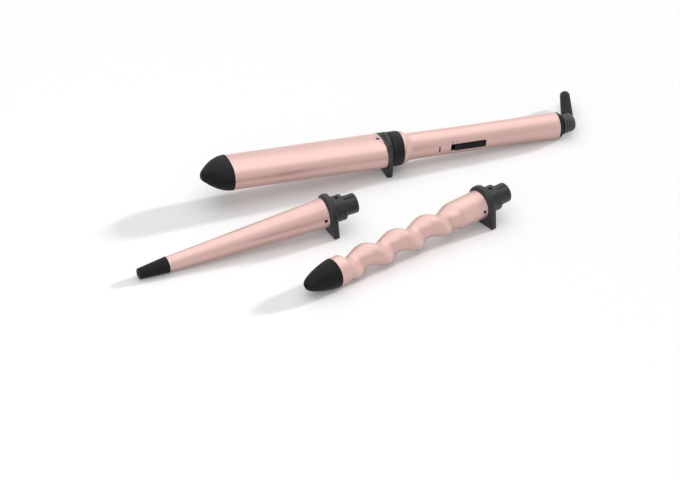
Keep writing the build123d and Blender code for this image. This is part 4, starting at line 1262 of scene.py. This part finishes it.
@dataclass
class CordSwivel(Assembly):
    """The turning elbow and the ribbed boot that the cord leaves by."""

    start: Station = (163.2, 8.7)
    end: Station = (174.5, 6.4)
    shaft: float = 3.5
    shaft_start: float = 137.0
    shaft_bore: float = 1.7
    clip: tuple[float, float, float] = (148.4, 149.2, 3.0)
    grooves: tuple[int, float, float] = (3, 2.0, 2.9)
    cord_x: float = 169.6
    lean: float = 20.0
    bore: float = 3.1
    boss: tuple[float, float] = (5.4, 8.5)
    seat_start: float = 4.1
    boot: tuple[float, float, float] = (50.0, 5.2, 4.3)
    ribs: int = 10
    rib_start: float = 18.0
    rib_step: float = 2.4
    rib_gap: float = 0.9
    rib_depth: float = 0.6

    def along_cord(self) -> Matrix:
        """Move from the handle axis to the cord's line."""
        return Matrix.Translation((self.cord_x, 0, 0)) @ Matrix.Rotation(
            math.radians(90 - self.lean), 4, "Z")

    def elbow(self) -> None:
        """Models the cone with its turned grooves, its shaft and its boss."""
        (x0, r0), (x1, r1) = self.start, self.end
        outline = [(x0, self.shaft), (x0, r0 - 0.5), (x0 + 0.5, r0)]
        count, first, pitch = self.grooves
        for groove in range(count):
            x = x0 + first + groove * pitch
            skin = r0 + (r1 - r0) * (x - x0) / (x1 - x0)
            outline += [(x, skin), (x + 0.25, skin - 0.45), (x + 0.75, skin - 0.55),
                        (x + 1.0, skin - 0.25)]
        soft = 1.6
        outline.append((x1 - soft, r1))
        outline += curve([(x1 - soft, r1), (x1 - 0.4, r1 - 0.1), (x1 - 0.05, r1 - 0.6),
                          (x1, r1 - soft)], 6)
        outline += [(x1, 0.8), (x1 - 1.2, 0.5), (x1 - 1.2, 0.02), (self.cord_x, 0.02)]
        clip_low, clip_high, clip = self.clip
        outline += [(self.cord_x, self.shaft_bore), (self.shaft_start, self.shaft_bore),
                    (self.shaft_start, self.shaft), (clip_low, self.shaft), (clip_low, clip),
                    (clip_high, clip), (clip_high, self.shaft)]
        piece = Workshop.turned("swivel_cone", outline, 112)
        boss_r, boss_end = self.boss
        boss = Workshop.rod("boss", boss_r, 0.5, boss_end)
        Workshop.shift(boss, self.along_cord())
        Workshop.blend(piece, [boss], "UNION")
        way = Workshop.rod("way", self.bore, 0, boss_end + 1)
        seat = Workshop.rod("seat", self.bore + 0.9, self.seat_start - 0.1, boss_end + 2)
        for tool in (way, seat):
            Workshop.shift(tool, self.along_cord())
        Workshop.blend(piece, [way, seat])
        Workshop.soften(piece, 0.12, 2, 40)
        # The elbow's finish is lighter than the other blacks, painted sheen for its highlights.
        self.seat(piece, "swivel", Finish.ELBOW, "black_plastic", ["swivel_elbow"])

    def strain_boot(self) -> None:
        """Models the rubber boot with rounded ribs and a softly rounded mouth."""
        reach, thick, thin = self.boot
        low = self.boss[1]

        def skin(t: float) -> float:
            """The boot's radius along the cord's line."""
            return thick + (thin - thick) * (t - low) / (reach - low)
        outline = [(low, self.bore + 0.8), (low, thick - 0.25), (low + 0.25, thick)]
        for rib in range(self.ribs):
            x = self.rib_start + rib * self.rib_step
            for share, depth in ((0.0, 0.0), (0.12, 0.35), (0.3, 0.85), (0.5, 1.0), (0.7, 0.85),
                                 (0.88, 0.35), (1.0, 0.0)):
                t = x + share * self.rib_gap
                outline.append((t, skin(t) - depth * self.rib_depth))
        outline.append((reach - 2.0, skin(reach - 2.0)))
        outline += curve([(reach - 2.0, skin(reach - 2.0)), (reach - 0.9, skin(reach)),
                          (reach, skin(reach) - 0.6), (reach, self.bore + 0.25)], 6)
        outline += [(reach - 0.25, self.bore), (self.seat_start, self.bore),
                    (self.seat_start, self.bore + 0.8)]
        piece = Workshop.turned("cord_boot", outline, 80)
        Workshop.soften(piece, 0.0, angle=50)
        Workshop.shift(piece, self.along_cord())
        self.seat(piece, "swivel", Finish.RUBBER, "black_rubber", ["strain_relief"])

    def build(self) -> None:
        """Models the elbow and the boot."""
        self.elbow()
        self.strain_boot()


# ---------------------------------------------------------------- studio
SEEN_RAYS = ("Is Camera Ray", "Is Glossy Ray", "Is Transmission Ray")


@dataclass
class Studio:
    """Pale floor, soft light and the camera. Sizes are in metres and degrees."""

    aim: tuple[float, float, float] = (-0.04386, -0.03115, 0.0)
    azimuth: float = -20.12
    elevation: float = 32.30
    distance: float = 3.0537
    lens: float = 199.5
    sensor: float = 36.0
    clip: tuple[float, float] = (0.1, 50.0)
    floor_size: float = 12.0
    floor_lift: float = 0.11
    floor_shown: float = 0.84
    floor_bounce: float = 0.42
    mottle_size: float = 0.8
    mottle_depth: float = 0.02
    key_heading: float = 30.0
    key_height: float = 20.0
    key_power: float = 2.35
    key_angle: float = 5.0
    sky_power: float = 0.39
    top_heading: float = 100.0
    top_height: float = 77.0
    top_power: float = 43.0
    top_size: float = 4.6
    front_heading: float = -100.0
    front_height: float = 40.0
    front_power: float = 17.0
    front_size: float = 2.4

    def floor(self) -> None:
        """Lays the floor, which looks white to the camera outside the shadows."""
        Workshop.clear()
        bpy.ops.mesh.primitive_plane_add(size=self.floor_size, location=(0, 0, 0))
        floor = Workshop.named("studio_floor")
        bench = Bench("floor_white")
        rays = [bench.add("ShaderNodeLightPath", {}, {}, name) for name in SEEN_RAYS]
        seen = (rays[0] + rays[1] + rays[2]).clamp()
        grey = seen * (self.floor_shown - self.floor_bounce) + self.floor_bounce
        tint = grey - bench.noise(self.mottle_size, 1.0) * self.mottle_depth
        colour = bench.add("ShaderNodeCombineColor", {}, {name: tint for name in
                                                          ("Red", "Green", "Blue")})
        matte = bench.add("ShaderNodeBsdfDiffuse", {}, {"Color": colour})
        lift = bench.add("ShaderNodeEmission", {}, {"Color": (1, 1, 1, 1),
                                                    "Strength": seen * self.floor_lift})
        both = bench.add("ShaderNodeAddShader", {}, {0: matte, 1: lift})
        bench.add("ShaderNodeOutputMaterial", {}, {"Surface": both})
        floor.data.materials.append(bench.material)

    def world(self) -> None:
        """Lights the room evenly and shows white behind it."""
        world = bpy.data.worlds.new("studio_world")
        bpy.context.scene.world = world
        world.use_nodes = True
        tree = world.node_tree
        tree.nodes.clear()
        path = tree.nodes.new("ShaderNodeLightPath")
        seen = path.outputs[SEEN_RAYS[0]]
        for name in SEEN_RAYS[1:]:
            either = tree.nodes.new("ShaderNodeMath")
            either.operation = "MAXIMUM"
            tree.links.new(seen, either.inputs[0])
            tree.links.new(path.outputs[name], either.inputs[1])
            seen = either.outputs[0]
        shown = tree.nodes.new("ShaderNodeMath")
        shown.operation = "MULTIPLY_ADD"
        shown.inputs[1].default_value = 1.0 - self.sky_power
        shown.inputs[2].default_value = self.sky_power
        sky = tree.nodes.new("ShaderNodeBackground")
        out = tree.nodes.new("ShaderNodeOutputWorld")
        tree.links.new(seen, shown.inputs[0])
        tree.links.new(shown.outputs[0], sky.inputs["Strength"])
        tree.links.new(sky.outputs[0], out.inputs["Surface"])

    def lamp(self, name: str, kind: str, heading: float, height: float, power: float,
             size: float, distance: float = 2.5) -> None:
        """Args:
            name: the lamp's name.
            kind: SUN or AREA.
            heading: where it stands, in degrees left of the camera's right.
            height: degrees above the floor.
            power: its strength or its watts.
            size: angle of a sun in degrees, or width of an area lamp in metres.
            distance: how far away it stands.
        """
        data = bpy.data.lights.new(name, kind)
        data.energy = power
        if kind == "SUN":
            data.angle = math.radians(size)
        else:
            data.shape, data.size = "DISK", size
        lamp = bpy.data.objects.new(name, data)
        lamp.visible_glossy = kind != "SUN"
        bpy.context.scene.collection.objects.link(lamp)
        turn = math.radians(heading + self.azimuth)
        up = math.radians(height)
        away = Vector((math.cos(turn) * math.cos(up), math.sin(turn) * math.cos(up),
                       math.sin(up)))
        lamp.location = Vector(self.aim) + away * distance
        lamp.rotation_euler = away.to_track_quat("Z", "Y").to_euler()

    def camera(self) -> None:
        """Stands the camera."""
        data = bpy.data.cameras.new("studio_camera")
        data.lens, data.sensor_width = self.lens, self.sensor
        data.clip_start, data.clip_end = self.clip
        camera = bpy.data.objects.new("studio_camera", data)
        bpy.context.scene.collection.objects.link(camera)
        turn, up = math.radians(self.azimuth), math.radians(self.elevation)
        back = Vector((math.sin(turn) * math.cos(up), -math.cos(turn) * math.cos(up),
                       math.sin(up)))
        camera.location = Vector(self.aim) + back * self.distance
        camera.rotation_euler = back.to_track_quat("Z", "Y").to_euler()
        bpy.context.scene.camera = camera

    def build(self) -> None:
        """Sets the whole stage."""
        bpy.context.scene.view_settings.view_transform = "Standard"
        self.camera()
        self.floor()
        self.world()
        self.lamp("key", "SUN", self.key_heading, self.key_height, self.key_power,
                  self.key_angle)
        self.lamp("top_soft", "AREA", self.top_heading, self.top_height, self.top_power,
                  self.top_size)
        self.lamp("front_soft", "AREA", self.front_heading, self.front_height,
                  self.front_power, self.front_size)


def dress_inner_pieces(frame: dict) -> None:
    """Gives every CAD node that still shows the finish of its material slot.

    Args:
        frame: the loaded frame.
    """
    for row in frame["record"]["subparts"]:
        node = frame["nodes"][row["node"]]
        finish = SLOT_FINISH[row["material_slot"]]
        # The base screws take the near-black steel, painted shade that darkens the screw holes in
        # the tubes.
        if row["node"].endswith("_base_screw"):
            finish = Finish.BLUED
        if not node.material_slots:
            node.data.materials.append(finish.material())
        for slot in node.material_slots:
            slot.material = finish.material()


def main() -> None:
    """Loads the frame, models the outer pieces and sets the stage."""
    logging.basicConfig(level=logging.INFO, format="%(name)s: %(message)s")
    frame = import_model()
    dress_inner_pieces(frame)
    joints = {joint["name"]: joint for joint in frame["joints"]}
    mounts = {mount["name"]: mount for mount in frame["record"]["mounts"]}
    twist = joints["ring_twist"]
    wand = Axis.through(twist["pos_m"], twist["axis"], TWIST_PLACE)
    spare = {name: Axis.through(mounts[f"{name}_coupling"]["pos_m"],
                                mounts[f"{name}_coupling"]["axis"], COUPLING_PLACE)
             for name in ("cone", "spiral")}
    OvalBarrel(wand).build()
    ConeBarrel(spare["cone"]).build()
    SpiralBarrel(spare["spiral"]).build()
    Handle(wand).build()
    CordSwivel(wand).build()
    Studio().build()


if __name__ == "__main__":
    main()
